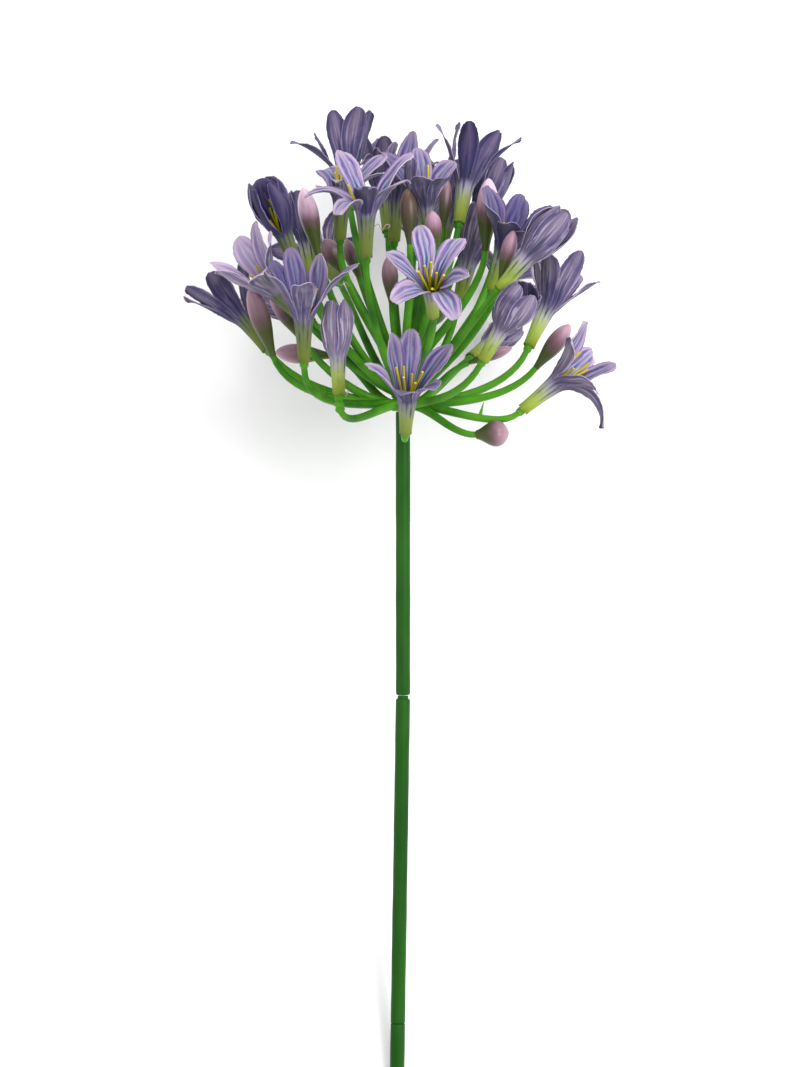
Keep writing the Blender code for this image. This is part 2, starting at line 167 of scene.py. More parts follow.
# %% Helpers for objects
BODY = "root"
SMOOTH_ANGLE = math.radians(40)
made_pieces = []


def only(thing):
    """Selects this object alone and makes it the active one."""
    bpy.ops.object.select_all(action="DESELECT")
    thing.select_set(True)
    bpy.context.view_layer.objects.active = thing


def apply_modifier(thing, kind, **settings):
    """Adds a modifier with these settings and applies it at once."""
    only(thing)
    bpy.ops.object.modifier_add(type=kind)
    modifier = thing.modifiers[-1]
    for name, value in settings.items():
        setattr(modifier, name, value)
    bpy.ops.object.modifier_apply(modifier=modifier.name)


def copy_of(master, name):
    """A copy of the master with a mesh of its own."""
    copy = bpy.data.objects.new(name, master.data.copy())
    copy.data.name = name
    bpy.context.scene.collection.objects.link(copy)
    return copy


def hand_over(piece, finish, replaced=(), angle=SMOOTH_ANGLE):
    """Shades a finished piece, gives it its finish and tells the frame about it."""
    only(piece)
    bpy.ops.object.shade_smooth_by_angle(angle=angle)
    if finish is not None:
        piece.data.materials.clear()
        piece.data.materials.append(finish)
    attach(piece, BODY)
    if replaced:
        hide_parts(*replaced)
    made_pieces.append(piece)


# %% [markdown]
# ## Turned bodies, ring by ring
#
# The stem's lengths, the collars and the buds are round. Each could be a profile with a Screw modifier.
# Growing it by hand shows more of how a round body is shaped: a filled circle is extruded upwards again
# and again, and each new ring is scaled to the radius that the outline gives it.

# %% A body grown from a circle
def grown(name, outline, sides):
    """A closed round body about its Z axis, from pairs of radius and height, lowest first."""
    radius, height = outline[0]
    bpy.ops.object.select_all(action="DESELECT")
    bpy.ops.mesh.primitive_circle_add(
        vertices=sides, radius=radius, fill_type="NGON", location=(0, 0, height)
    )
    thing = bpy.context.object
    thing.name = name
    bpy.ops.object.transform_apply(location=True, rotation=True, scale=True)
    bpy.ops.object.mode_set(mode="EDIT")
    for next_radius, next_height in outline[1:]:
        rise = (0, 0, next_height - height)
        share = next_radius / radius
        bpy.ops.mesh.extrude_region_move(TRANSFORM_OT_translate={"value": rise})
        bpy.ops.transform.resize(value=(share, share, 1.0), center_override=(0, 0, next_height))
        radius, height = next_radius, next_height
    bpy.ops.mesh.select_all(action="SELECT")
    bpy.ops.mesh.normals_make_consistent(inside=False)
    bpy.ops.object.mode_set(mode="OBJECT")
    return thing


# %% [markdown]
# ## Mixing a finish from nodes
#
# Each finish is a Principled shader whose colour and bump come from patterns. A few helpers keep the
# recipes short: one adds a node, one does sums, one mixes two colours and one runs a share through a row
# of colours. Colours are written as the eye sees them and turned into the linear values that nodes use.

# %% Helpers for finishes
def linear(code):
    """The linear colour of a hex code such as 8b7799."""
    shares = [int(code[i : i + 2], 16) / 255 for i in (0, 2, 4)]
    return tuple(s / 12.92 if s <= 0.04045 else ((s + 0.055) / 1.055) ** 2.4 for s in shares) + (1.0,)


class Finish:
    """A material with a Principled shader, and the nodes that feed it."""

    def __init__(self, name, **values):
        self.material = bpy.data.materials.new(name)
        self.material.use_nodes = True
        self.tree = self.material.node_tree
        self.shader = self.tree.nodes["Principled BSDF"]
        sockets = {socket.name.lower().replace(" ", "_"): socket for socket in self.shader.inputs}
        for name_of_value, value in values.items():
            sockets[name_of_value].default_value = value

    def put(self, socket, value):
        if isinstance(value, bpy.types.NodeSocket):
            self.tree.links.new(value, socket)
        else:
            socket.default_value = value

    def node(self, kind, inputs=(), **settings):
        made = self.tree.nodes.new(kind)
        for name, value in settings.items():
            setattr(made, name, value)
        for index, value in dict(inputs).items():
            self.put(made.inputs[index], value)
        return made

    def sum(self, operation, first, second=0.0):
        return self.node("ShaderNodeMath", {0: first, 1: second}, operation=operation).outputs[0]

    def fade(self, value, low, high):
        """Runs from 0 where the value is low to 1 where it is high, smoothly."""
        inputs = {0: value, 1: low, 2: high, 3: 0.0, 4: 1.0}
        return self.node("ShaderNodeMapRange", inputs, interpolation_type="SMOOTHSTEP").outputs[0]

    def part(self, value, low, high, most=1.0):
        """A fade that reaches no further than its greatest share."""
        return self.sum("MULTIPLY", self.fade(value, low, high), most)

    def mix(self, share, low, high):
        made = self.node("ShaderNodeMix", data_type="RGBA")
        for index, value in ((0, share), (6, low), (7, high)):
            self.put(made.inputs[index], linear(value) if isinstance(value, str) else value)
        return made.outputs[2]

    def row(self, share, stops):
        """A row of colours, each at its share."""
        made = self.node("ShaderNodeValToRGB", {0: share})
        elements = made.color_ramp.elements
        while len(elements) < len(stops):
            elements.new(0.5)
        for element, (place, code) in zip(elements, stops):
            element.position = place
            element.color = linear(code)
        return made.outputs[0]

    def noise(self, vector, scale, detail=2.0):
        inputs = {"Vector": vector, "Scale": scale, "Detail": detail}
        return self.node("ShaderNodeTexNoise", inputs).outputs[0]

    def stretched(self, vector, scale):
        inputs = {"Vector": vector, "Scale": scale}
        return self.node("ShaderNodeMapping", inputs).outputs[0]

    def colour(self, value):
        self.put(self.shader.inputs["Base Color"], value)

    def bump(self, height, distance, strength=1.0):
        inputs = {"Height": height, "Distance": distance, "Strength": strength}
        made = self.node("ShaderNodeBump", inputs)
        self.put(self.shader.inputs["Normal"], made.outputs[0])


# %% [markdown]
# ## The stem
#
# The stem is a plastic tube in three lengths, pushed together. The photograph shows a rounded notch at
# the first joint and a faint ring at the second. The lengths are grown ring by ring, with many rings
# along them, so that their sides can waver a little as drawn plastic does. Below the first joint the
# stem leans to the left by about a degree.

# %% The stem's lengths
STEM_RADIUS = 3.25 * MM
STEM_SIDES = 40
PIN_SHOULDER = -12.0 * MM
PIN_RADIUS = 2.2 * MM
PIN_TOP = 5.0 * MM
FIRST_JOINT = -139.5 * MM
SECOND_JOINT = -287.0 * MM
STEM_END = -315.0 * MM
STEM_LEAN = math.radians(0.9)
NECK_RADIUS = 2.45 * MM
NECK_LENGTH = 1.2 * MM
NOTCH_ROUNDING = 0.9 * MM
SEAM_ROUNDING = 0.25 * MM
END_ROUNDING = 0.5 * MM
GAP = 0.3 * MM
RING_SPACING = 4.0 * MM
WAVER = 0.02


def rounded_end(radius, end, rounding, inwards):
    """The rings of a rounded end: the way inwards is 1 for a lower end and -1 for an upper end."""
    angles = [math.radians(angle) for angle in (0, 30, 60, 90)]
    rings = [
        (radius - rounding * (1 - math.sin(a)), end + inwards * rounding * (1 - math.cos(a)))
        for a in angles
    ]
    return rings if inwards > 0 else rings[::-1]


def stem_rings(low, high, low_rounding, high_rounding):
    """Rings from a lower end to an upper end, with a slight waver in their radius."""
    first, last = low + low_rounding, high - high_rounding
    count = round((last - first) / RING_SPACING)
    between = []
    for step in range(1, count):
        height = first + (last - first) * step / count
        waver = math.sin(height / MM * 0.31) + math.sin(height / MM * 0.127 + 1.3)
        between.append((STEM_RADIUS * (1 + WAVER * waver / 2), height))
    lower = rounded_end(STEM_RADIUS, low, low_rounding, 1)
    upper = rounded_end(STEM_RADIUS, high, high_rounding, -1)
    return [*lower, *between, *upper]


def neck(top):
    """The rings of the neck that joins a length to the one above it."""
    return [(NECK_RADIUS, top - NECK_LENGTH), (NECK_RADIUS, top)]


notch_low = FIRST_JOINT - GAP - NECK_LENGTH
STEM_LENGTHS = {
    "upper": [
        *stem_rings(FIRST_JOINT, PIN_SHOULDER, NOTCH_ROUNDING, END_ROUNDING),
        (PIN_RADIUS, PIN_SHOULDER),
        (PIN_RADIUS, PIN_TOP),
    ],
    "middle": [
        *stem_rings(SECOND_JOINT, notch_low, SEAM_ROUNDING, NOTCH_ROUNDING),
        *neck(FIRST_JOINT - GAP),
    ],
    "lower": stem_rings(STEM_END, SECOND_JOINT - GAP, END_ROUNDING, SEAM_ROUNDING),
}
pivot = Matrix.Translation((0.0, FIRST_JOINT, 0.0))
LEANING = pivot @ Matrix.Rotation(-STEM_LEAN, 4, "Z") @ pivot.inverted()
stem_pieces = {}
for length_name, outline in STEM_LENGTHS.items():
    stem_piece = grown(f"stem_{length_name}_length", outline, STEM_SIDES)
    lean = Matrix() if length_name == "upper" else LEANING
    stem_piece.data.transform(LAID @ lean @ UPRIGHT)
    stem_pieces[length_name] = stem_piece
    print(stem_piece.name, "has", len(outline), "rings")

# %% [markdown]
# ## The plastic of the stem and the stalks
#
# Both are moulded plastic dyed green, the stem darker than the stalks. It has a soft gloss, faint marks
# that run along the stem, and cloudy changes of shade. Towards the right side, where the key lamp shines,
# the green is painted lighter as painted light. Object coordinates suit it, as the pieces lie
# where they are modelled. The stem's marks are stretched along the stem by a Mapping node.

# %% Green plastic
STEM_SHADES = ("0a4004", "1f580b")
STALK_SHADES = ("2a660e", "50921f")
# Painted light: towards the right side, where the key lamp shines, the stalks are painted a lighter green
LIT_SIDE_GREEN = "5aa426"
LIT_SIDE_FROM = 10.0 * MM
LIT_SIDE_TO = 60.0 * MM


def green_plastic(name, shades, stretch, roughness):
    finish = Finish(name, roughness=roughness, specular_ior_level=0.15)
    place = finish.node("ShaderNodeTexCoord").outputs["Object"]
    along = finish.stretched(place, stretch)
    clouds = finish.noise(along, 60.0, 3.0)
    green = finish.mix(finish.fade(clouds, 0.3, 0.7), *shades)
    # Painted light: the green is mixed towards a lighter green on the right side, where the key lamp shines
    side = finish.node("ShaderNodeSeparateXYZ", {0: place}).outputs[0]
    finish.colour(finish.mix(finish.part(side, LIT_SIDE_FROM, LIT_SIDE_TO, 0.8), green, LIT_SIDE_GREEN))
    finish.bump(finish.noise(along, 900.0, 2.0), 0.12 * MM, 0.5)
    return finish.material


stem_green = green_plastic("stem_green_plastic", STEM_SHADES, (1.0, 0.12, 1.0), 0.48)
stalk_green = green_plastic("stalk_green_plastic", STALK_SHADES, (1.0, 1.0, 1.0), 0.42)
for length_name, stem_piece in stem_pieces.items():
    hand_over(stem_piece, stem_green, [f"stem_{length_name}"])
print("the stem's three lengths are finished")

# %% [markdown]
# ## The florets and buds, as the photograph shows them
#
# These tables say where each floret and bud is. A floret's place is the open end of its tube, and its
# tips are the pixels at which the photograph shows the ends of its petals, beginning with the petal at
# the front and going round by the right, with the petal's twist in degrees, or "edge" where the petal is
# seen edge on. None stands for a petal that the photograph hides. Some florets look drab and dark and others pale,
# partly as the dye took unevenly and partly as painted shade and light: the insides of dark cups and the florets
# at the top are painted darker as painted shade, and floret 06 on the dim left side is painted paler as painted light.
# The florets from 24 on, and buds 18 and 19, are at the back, out of the photograph's sight.

# %% The tables of florets and buds
# Each floret: place (side, up, front) in millimetres, aim, how far open from 0 to 1, size, the turn of
# its petals in degrees and the straight share of its stalk
FLORETS = {
    "01": ((-24, 82, -13), (-0.10, 0.80, -0.57), 0.75, 1.0, 30, 0.3),
    "02": ((-16, 53, 52), (0.00, 0.94, 0.34), 1.0, 1.0, 0, 0.3),
    "03": ((-28, 65, 14), (0.05, 0.86, 0.50), 0.85, 0.95, 0, 0.3),
    "04": ((-46, 49, 30), (-0.36, 0.88, 0.31), 0.12, 0.95, 20, 0.3),
    "05": ((-41, 49, -3), (-0.17, 0.98, 0.09), 0.0, 0.85, 0, 0.3),
    "06": ((-45, 29, 17), (-0.64, 0.61, 0.47), 0.85, 1.0, 0, 0.3),
    "07": ((-61, 16, 0), (-0.54, 0.73, -0.42), 0.75, 1.0, 0, 0.35),
    "08": ((-43, 8, 50), (0.00, 0.93, 0.37), 0.95, 1.0, 0, 0.35),
    "09": ((-28, -6, 45), (-0.03, 0.99, 0.14), 0.0, 0.88, 30, 0.35),
    "10": ((13, 28, 50), (-0.04, 0.56, 0.83), 1.0, 1.0, 25, 0.3),
    "11": ((1, -23, 48), (0.04, 0.74, 0.67), 0.95, 1.0, 0, 0.12),
    "12": ((25, 72, 7), (0.15, 0.92, -0.37), 0.7, 1.0, -10, 0.3),
    "13": ((-4, 66, -10), (0.06, 0.96, 0.26), 0.8, 0.95, 0, 0.3),
    "14": ((-7, 73, -44), (-0.05, 0.94, -0.34), 0.5, 0.95, 0, 0.3),
    "15": ((11, 62, 15), (-0.07, 0.90, 0.42), 0.75, 0.95, 0, 0.3),
    "16": ((28, 63, -24), (0.38, 0.92, -0.09), 0.1, 0.95, 0, 0.3),
    "17": ((40, 43, 8), (0.27, 0.84, 0.47), 0.75, 1.0, 0, 0.3),
    "18": ((42, 40, 41), (0.66, 0.75, 0.09), 0.02, 0.97, 0, 0.3),
    "19": ((57, 18, -8), (0.40, 0.86, -0.31), 0.65, 1.0, -20, 0.35),
    "20": ((35, 9, 42), (0.47, 0.80, 0.37), 0.18, 0.86, 30, 0.35),
    "21": ((53, -12, 25), (0.76, 0.60, 0.26), 0.95, 0.97, 0, 0.24),
    "22": ((17, 61, -24), (0.20, 0.96, -0.17), 0.1, 0.95, 0, 0.3),
    "23": ((25, 37, -5), (0.22, 0.95, -0.15), 0.0, 1.0, 0, 0.3),
    "24": ((-30, 50, -40.6), (-0.30, 0.50, -0.81), 0.8, 0.95, 0, 0.3),
    "25": ((40, 45, -39.1), (0.35, 0.45, -0.82), 0.8, 0.95, 0, 0.3),
    "26": ((5, 62, -44), (0.05, 0.65, -0.76), 0.6, 0.95, 0, 0.3),
    "27": ((-42, 30, -30), (-0.62, 0.36, -0.70), 0.1, 0.86, 0, 0.3),
    "28": ((31, 14, -34), (0.50, 0.40, -0.77), 0.1, 0.86, 0, 0.3),
}
PETAL_TIPS = {
    "01": ((359, 106, -25), (371, 109, 0), None, (306, 122, "edge"), (291, 142, "edge"), (333, 110, 15)),
    "02": ((366, 187), (408, 181), (413, 153), (338, 149), (305, 200), (338, 230)),
    "03": (None, None, None, (345, 170), (325, 172), (324, 190)),
    "06": (None, (272, 233), (255, 222), (238, 237), (211, 262), (217, 271)),
    "07": ((211, 271), None, None, None, (182, 297), (185, 287)),
    "08": ((305, 284), (361, 263), (320, 253), (289, 247), (272, 262), (266, 273)),
    "10": ((455, 320), (467, 278), (462, 241), (420, 226), (386, 254), (392, 302)),
    "11": ((406, 394), (439, 387), (452, 344), (411, 329), (391, 333), (366, 365)),
    "12": ((469, 121, 5), (499, 131, -20), (523, 137, "edge"), None, (460, 118, "edge"), (437, 124, "edge")),
    "13": (None, None, (439, 138), (414, 129), (398, 141), (378, 149)),
    "14": (None, None, None, None, (383, 133), (360, 131)),
    "15": (None, (448, 177), (452, 162), None, None, (412, 156)),
    "17": ((507, 222), (528, 234), (552, 206), (522, 195), (486, 187), (482, 201)),
    "18": ((568, 214), (569, 229), None, None, (560, 206), (557, 206)),
    "19": ((548, 251), (580, 249), (599, 281), (581, 275), None, None),
    "20": ((533, 296, 0), (542, 296, 0), (533, 284, 0), (524, 281, 0), (514, 284, 0), (520, 285, 0)),
    "21": ((599, 395), (599, 435, -50), (615, 364), None, (587, 321), (572, 340)),
}
# How dark each floret is, from 0 for pale to 1 for navy: partly its dye, partly painted shade on dark cups such as 04
# and on the florets at the top, and below 0 painted light, as on the pale floret 06
FLORET_DYES_PAINTED_SHADE_AND_LIGHT = {
    "01": 0.8, "02": 0.2, "03": 0.3, "04": 1.0, "05": 0.85, "06": -0.4, "07": 0.6, "08": 0.4, "09": -0.15,
    "10": 0.2, "11": 0.5, "12": 0.8, "13": 0.6, "14": 0.7, "15": 0.6, "16": 0.8, "17": 0.75, "18": 0.35,
    "19": 0.45, "20": 0.1, "21": 0.3, "22": 0.6, "23": 0.4, "24": 0.4, "25": 0.5, "26": 0.6, "27": 0.4, "28": 0.3,
}
# Each bud: place of its base, aim, length and greatest thickness in millimetres, the straight share of
# its stalk, and its tone from -1 for pale by way of 0 for pink to 1 for olive brown; a pale tone lightens
# the tip, partly as paler dye and partly as painted light where the tip of bud 01 is lit
BUDS = {
    "01": ((-38, 58, 20), (-0.22, 0.98, 0.09), 29, 9.2, 0.3, -0.9),
    "02": ((-27, 51, -2), (-0.50, 0.87, 0.17), 17, 9.5, 0.3, 0.6),
    "03": ((-58, 13, 22), (-0.31, 0.95, 0.09), 31, 9.3, 0.35, 0.45),
    "04": ((-46, 21, 8), (-0.55, 0.83, 0.09), 24, 7.6, 0.35, 0.3),
    "05": ((-34, 14, -12), (-1.00, 0.06, 0.00), 24, 9.1, 0.35, 0.3),
    "06": ((-5, 36, 12), (-0.07, 1.00, 0.17), 21, 7.6, 0.3, 0.5),
    "07": ((3, 61, 30), (-0.04, 1.00, 0.09), 24, 7.9, 0.3, 1.0),
    "08": ((37, 61, 8), (0.04, 1.00, 0.10), 31, 10.0, 0.3, -0.5),
    "09": ((43, 45, 34), (0.25, 0.97, 0.14), 22, 7.1, 0.3, 0.15),
    "10": ((15, 59, 27), (-0.16, 0.99, 0.26), 17, 7.5, 0.3, 0.15),
    "11": ((18, 71, -2), (0.08, 1.00, 0.00), 22, 6.3, 0.3, 0.6),
    "12": ((11, 81, -12), (0.08, 1.00, -0.09), 22, 6.8, 0.3, 0.9),
    "13": ((60, 8, 5), (0.62, 0.79, 0.09), 24, 8.5, 0.35, 0.3),
    "14": ((30, 11, -18), (0.94, 0.33, 0.00), 21, 5.5, 0.35, 0.2),
    "15": ((33, -23, 22), (1.00, 0.06, 0.17), 14, 12.0, 0.3, 0.5),
    "16": ((43, 63, -12), (0.18, 0.98, 0.00), 20, 6.3, 0.3, 0.5),
    "17": ((-20, 50, -15), (-0.33, 0.94, 0.00), 18, 7.3, 0.3, 0.5),
    "18": ((-5, 2, -36), (-0.10, 0.30, -0.95), 20, 8.0, 0.3, 0.3),
    "19": ((14, 30, -42), (0.20, 0.50, -0.84), 22, 8.0, 0.3, 0.2),
}
print(len(FLORETS), "florets and", len(BUDS), "buds")

# %% [markdown]
# ## The whorls of stalks
#
# The stalks are moulded in three whorls, each a collar with a dozen or more stalks, threaded on the pin
# at the top of the stem. A stalk is a Bezier curve with a round bevel, thicker where it leaves the
# collar. Under a floret it ends in a thicker peg, which the tube of fabric is pushed over. The curves
# are turned into meshes and joined to the collar with one Boolean, so that each whorl is one moulding.

# %% The path of a stalk
COLLAR_RADIUS = 5.2 * MM
COLLAR_BORE = 2.5 * MM
COLLAR_HEIGHT = 5.6 * MM
COLLAR_ROUNDING = 0.6 * MM
COLLAR_SIDES = 32
COLLAR_BOTTOMS = {"lower": -11.7 * MM, "middle": -5.8 * MM, "upper": 1.6 * MM}
CROWN_ROOF = 1.6 * MM
STALK_RADIUS = 1.5 * MM
STALK_HANDLE = 0.3
ROOT_SWELL = 1.45
NECK_SWELL = 0.92
PEG_SWELL = 1.3
STALK_IN_TUBE = 4.0 * MM
STALK_BELOW_TUBE = 3.0 * MM
PEG_SHOULDER = 0.8 * MM
# For each whorl: where a stalk starts, as a distance from the axis and a share of the collar's height,
# and how far its first stretch leans towards square to the stem
STALK_STARTS = {
    "lower": (3.6 * MM, 0.5, 0.8),
    "middle": (3.7 * MM, 0.5, 0.45),
    "upper": (2.4 * MM, 0.75, 0.1),
}
# The widest angle from the stem's own way at which a whorl carries flowers
WHORL_ANGLES = (("upper", math.radians(32)), ("middle", math.radians(65)), ("lower", math.pi))


def whorl_of(place):
    angle = Vector((0, 1, 0)).angle(Vector(place))
    return next(name for name, limit in WHORL_ANGLES if angle < limit)


def stalk_handles(whorl, foot, look, straight):
    """The four points of the Bezier curve from the whorl's collar to the foot of the flower."""
    radius, share, spread = STALK_STARTS[whorl]
    outward = Vector((foot.x, 0.0, foot.z)).normalized()
    start = outward * radius + Vector((0.0, COLLAR_BOTTOMS[whorl] + share * COLLAR_HEIGHT, 0.0))
    reach = (foot - start).length
    first = ((foot - start).normalized() * (1 - spread) + outward * spread).normalized()
    return start, start + first * STALK_HANDLE * reach, foot - look * straight * reach, foot


print("floret 11 hangs on the", whorl_of(FLORETS["11"][0]), "whorl")

# %% A stalk as a curve
STALK_STEPS = 14
STALK_BEVEL_STEPS = 4


def stalk_mesh(name, handles, peg_points):
    """A stalk as a closed mesh. The peg's points, after the foot, are places with a swell each."""
    bpy.ops.object.select_all(action="DESELECT")
    bpy.ops.curve.primitive_bezier_curve_add(location=(0, 0, 0))
    thing = bpy.context.object
    thing.name = name
    curve = thing.data
    curve.dimensions = "3D"
    curve.bevel_depth = STALK_RADIUS
    curve.bevel_resolution = STALK_BEVEL_STEPS
    curve.resolution_u = STALK_STEPS
    curve.use_fill_caps = True
    points = curve.splines[0].bezier_points
    points.add(len(peg_points))
    for point in points:
        point.handle_left_type = point.handle_right_type = "FREE"
    start, start_handle, foot_handle, foot = handles
    points[0].co, points[0].handle_left, points[0].handle_right = start, start, start_handle
    points[1].co, points[1].handle_left, points[1].handle_right = foot, foot_handle, foot
    points[0].radius, points[1].radius = ROOT_SWELL, NECK_SWELL
    for point, (place, swell) in zip(points[2:], peg_points):
        point.co = point.handle_left = point.handle_right = place
        point.radius = swell
    bpy.ops.object.convert(target="MESH")
    bpy.ops.object.mode_set(mode="EDIT")
    bpy.ops.mesh.select_all(action="SELECT")
    bpy.ops.mesh.remove_doubles(threshold=0.001 * MM)
    bpy.ops.mesh.normals_make_consistent(inside=False)
    bpy.ops.object.mode_set(mode="OBJECT")
    return bpy.context.object


def floret_stalk(name):
    place, aim, _, _, _, straight = FLORETS[name]
    look = Vector(aim).normalized()
    tip = Vector(place) * MM + look * STALK_IN_TUBE
    foot = tip - look * (STALK_IN_TUBE + STALK_BELOW_TUBE)
    handles = stalk_handles(whorl_of(place), foot, look, straight)
    peg = [(foot + look * PEG_SHOULDER, PEG_SWELL), (tip, PEG_SWELL)]
    return stalk_mesh(f"floret_stalk_{name}", handles, peg)


def bud_stalk(name):
    place, aim, _, _, straight, _ = BUDS[name]
    look = Vector(aim).normalized()
    foot = Vector(place) * MM - look * GAP
    return stalk_mesh(f"bud_stalk_{name}", stalk_handles(whorl_of(place), foot, look, straight), [])


stalks = {"lower": [], "middle": [], "upper": []}
for floret_name, (place, *_) in FLORETS.items():
    stalks[whorl_of(place)].append(floret_stalk(floret_name))
for bud_name, (place, *_) in BUDS.items():
    stalks[whorl_of(place)].append(bud_stalk(bud_name))
print({whorl: len(members) for whorl, members in stalks.items()}, "stalks")

# %% [markdown]
# ## Spikes and lugs on the stalks
#
# Three stalks in the photograph carry a small pointed bract, pale green and a few millimetres long, and
# the stalk of the lowest left floret has a lumpy knot under its tube. Each bract is a cone drawn out in
# edit mode. The knot is a short turned body whose points are then moved about at random. Both are joined
# to their whorl with the stalks.

# %% Bracts and the knot
BRACT_RADIUS = 0.9 * MM
BRACT_SIDES = 10
# Each bract: the floret whose stalk it grows from, the share of the stalk's length, its way out and length
BRACTS = {
    "left": ("08", 0.62, (-0.25, 0.95, 0.2), 6.0 * MM),
    "right": ("21", 0.6, (0.25, 0.95, 0.2), 7.5 * MM),
    "inner": ("18", 0.72, (0.6, 0.75, 0.25), 5.0 * MM),
}
KNOT_FLORET = "09"
KNOT_SHARE = 0.95
KNOT_RINGS = ((1.2, -3.2), (1.9, -2.2), (2.1, -1.2), (1.7, -0.4), (2.2, 0.6), (2.0, 1.6), (1.2, 2.4))
KNOT_LUMPS = 0.35 * MM


def stalk_point(name, share):
    """The place on a floret's stalk at this share of its length, and the stalk's way there."""
    place, aim, _, _, _, straight = FLORETS[name]
    look = Vector(aim).normalized()
    foot = Vector(place) * MM - look * STALK_BELOW_TUBE
    points = interpolate_bezier(*stalk_handles(whorl_of(place), foot, look, straight), 101)
    step = round(share * 100)
    return points[step], points[step + 1] - points[step - 1]


def bract(name, place, way, length):
    """A spike that narrows to a point, from inside the stalk."""
    rings = [(BRACT_RADIUS, 0.0), (0.8 * BRACT_RADIUS, 0.4 * length), (0.1 * BRACT_RADIUS, length)]
    thing = grown(f"bract_{name}", rings, BRACT_SIDES)
    thing.data.transform(facing(place / MM, way))
    return thing


def knot():
    """A lumpy knot around the stalk."""
    thing = grown("knot", [(radius * MM, height * MM) for radius, height in KNOT_RINGS], 18)
    bpy.ops.object.mode_set(mode="EDIT")
    bpy.ops.mesh.select_all(action="SELECT")
    bpy.ops.transform.vertex_random(offset=KNOT_LUMPS, seed=4)
    bpy.ops.object.mode_set(mode="OBJECT")
    place, way = stalk_point(KNOT_FLORET, KNOT_SHARE)
    thing.data.transform(facing(place / MM, way))
    return thing


for bract_name, (owner_name, share, way, bract_length) in BRACTS.items():
    root, _ = stalk_point(owner_name, share)
    stalks[whorl_of(FLORETS[owner_name][0])].append(bract(bract_name, root, way, bract_length))
stalks[whorl_of(FLORETS[KNOT_FLORET][0])].append(knot())
print(len(BRACTS), "bracts and a knot")

# %% Joining each whorl
def collar(whorl):
    """The collar's outer body, with its bore cut upwards from below."""
    bottom = COLLAR_BOTTOMS[whorl]
    top = bottom + COLLAR_HEIGHT
    lower = rounded_end(COLLAR_RADIUS, bottom, COLLAR_ROUNDING, 1)
    upper = rounded_end(COLLAR_RADIUS, top, COLLAR_ROUNDING, -1)
    body = grown(f"stalk_whorl_{whorl}_moulding", [*lower, *upper], COLLAR_SIDES)
    roof = top - CROWN_ROOF if whorl == "upper" else top + COLLAR_HEIGHT
    drill = grown(f"bore_{whorl}", [(COLLAR_BORE, bottom - MM), (COLLAR_BORE, roof)], COLLAR_SIDES)
    body.data.transform(UPRIGHT)
    drill.data.transform(UPRIGHT)
    return body, drill


def join_whorl(whorl):
    body, drill = collar(whorl)
    group = bpy.data.collections.new(f"stalks_{whorl}")
    bpy.context.scene.collection.children.link(group)
    for stalk in stalks[whorl]:
        group.objects.link(stalk)
    apply_modifier(
        body, "BOOLEAN", operation="UNION", solver="EXACT", operand_type="COLLECTION", collection=group
    )
    apply_modifier(body, "BOOLEAN", operation="DIFFERENCE", solver="EXACT", object=drill)
    for thing in [*stalks[whorl], drill]:
        bpy.data.objects.remove(thing)
    bpy.data.collections.remove(group)
    body.data.transform(LAID)
    hand_over(body, stalk_green, [f"stalk_whorl_{whorl}"])
    return body


for whorl in COLLAR_BOTTOMS:
    whorl_piece = join_whorl(whorl)
    print(whorl_piece.name, "has", len(whorl_piece.data.polygons), "faces")

# %% [markdown]
# ## The fabric of the florets
#
# A floret is cut from printed fabric: a tube that opens into six petals. One master is made flat
# upwards: a circle is extruded into the tube, and each sixth of the mouth is extruded on into a petal.
# While it grows, each point notes its petal, its place across it and its place along it. The copies are
# bent by these notes, and the print follows them as well.

# %% The master floret
PETALS = 6
COLUMNS = 8
TUBE_ROWS = 6
PETAL_ROWS = 14
TUBE_RADIUS = 2.7 * MM
MOUTH_RADIUS = 4.3 * MM
MOUTH_HEIGHT = 19.0 * MM
PETAL_LENGTH = 29.0 * MM
# The share of the print's height that lies on the tube
TUBE_PRINT = 0.4


def note(thing, petal, row):
    """Writes the petal, the row and the column of each selected point into its notes."""
    notes = bmesh.from_edit_mesh(thing.data)
    layers = [notes.verts.layers.int[name] for name in ("petal", "row", "column")]
    for vert in notes.verts:
        if vert.select:
            angle = math.degrees(math.atan2(vert.co.y, vert.co.x)) - 90 - 60 * petal
            column = round((angle + 180) % 360 - 180) / (60 / COLUMNS)
            for layer, value in zip(layers, (petal, row, round(column))):
                vert[layer] = value
    bmesh.update_edit_mesh(thing.data)


def select_mouth(thing, petal):
    """Selects the edges of the mouth that belong to one petal."""
    bpy.ops.mesh.select_all(action="DESELECT")
    shape = bmesh.from_edit_mesh(thing.data)
    way = math.radians(90 + 60 * petal)
    outward = Vector((math.cos(way), math.sin(way)))
    for edge in shape.edges:
        middle = (edge.verts[0].co + edge.verts[1].co) / 2
        level = all(abs(vert.co.z - MOUTH_HEIGHT) < 0.01 * MM for vert in edge.verts)
        if level and middle.xy.normalized().dot(outward) > math.cos(math.radians(30)):
            edge.select = True
    shape.select_flush(True)
    bmesh.update_edit_mesh(thing.data)


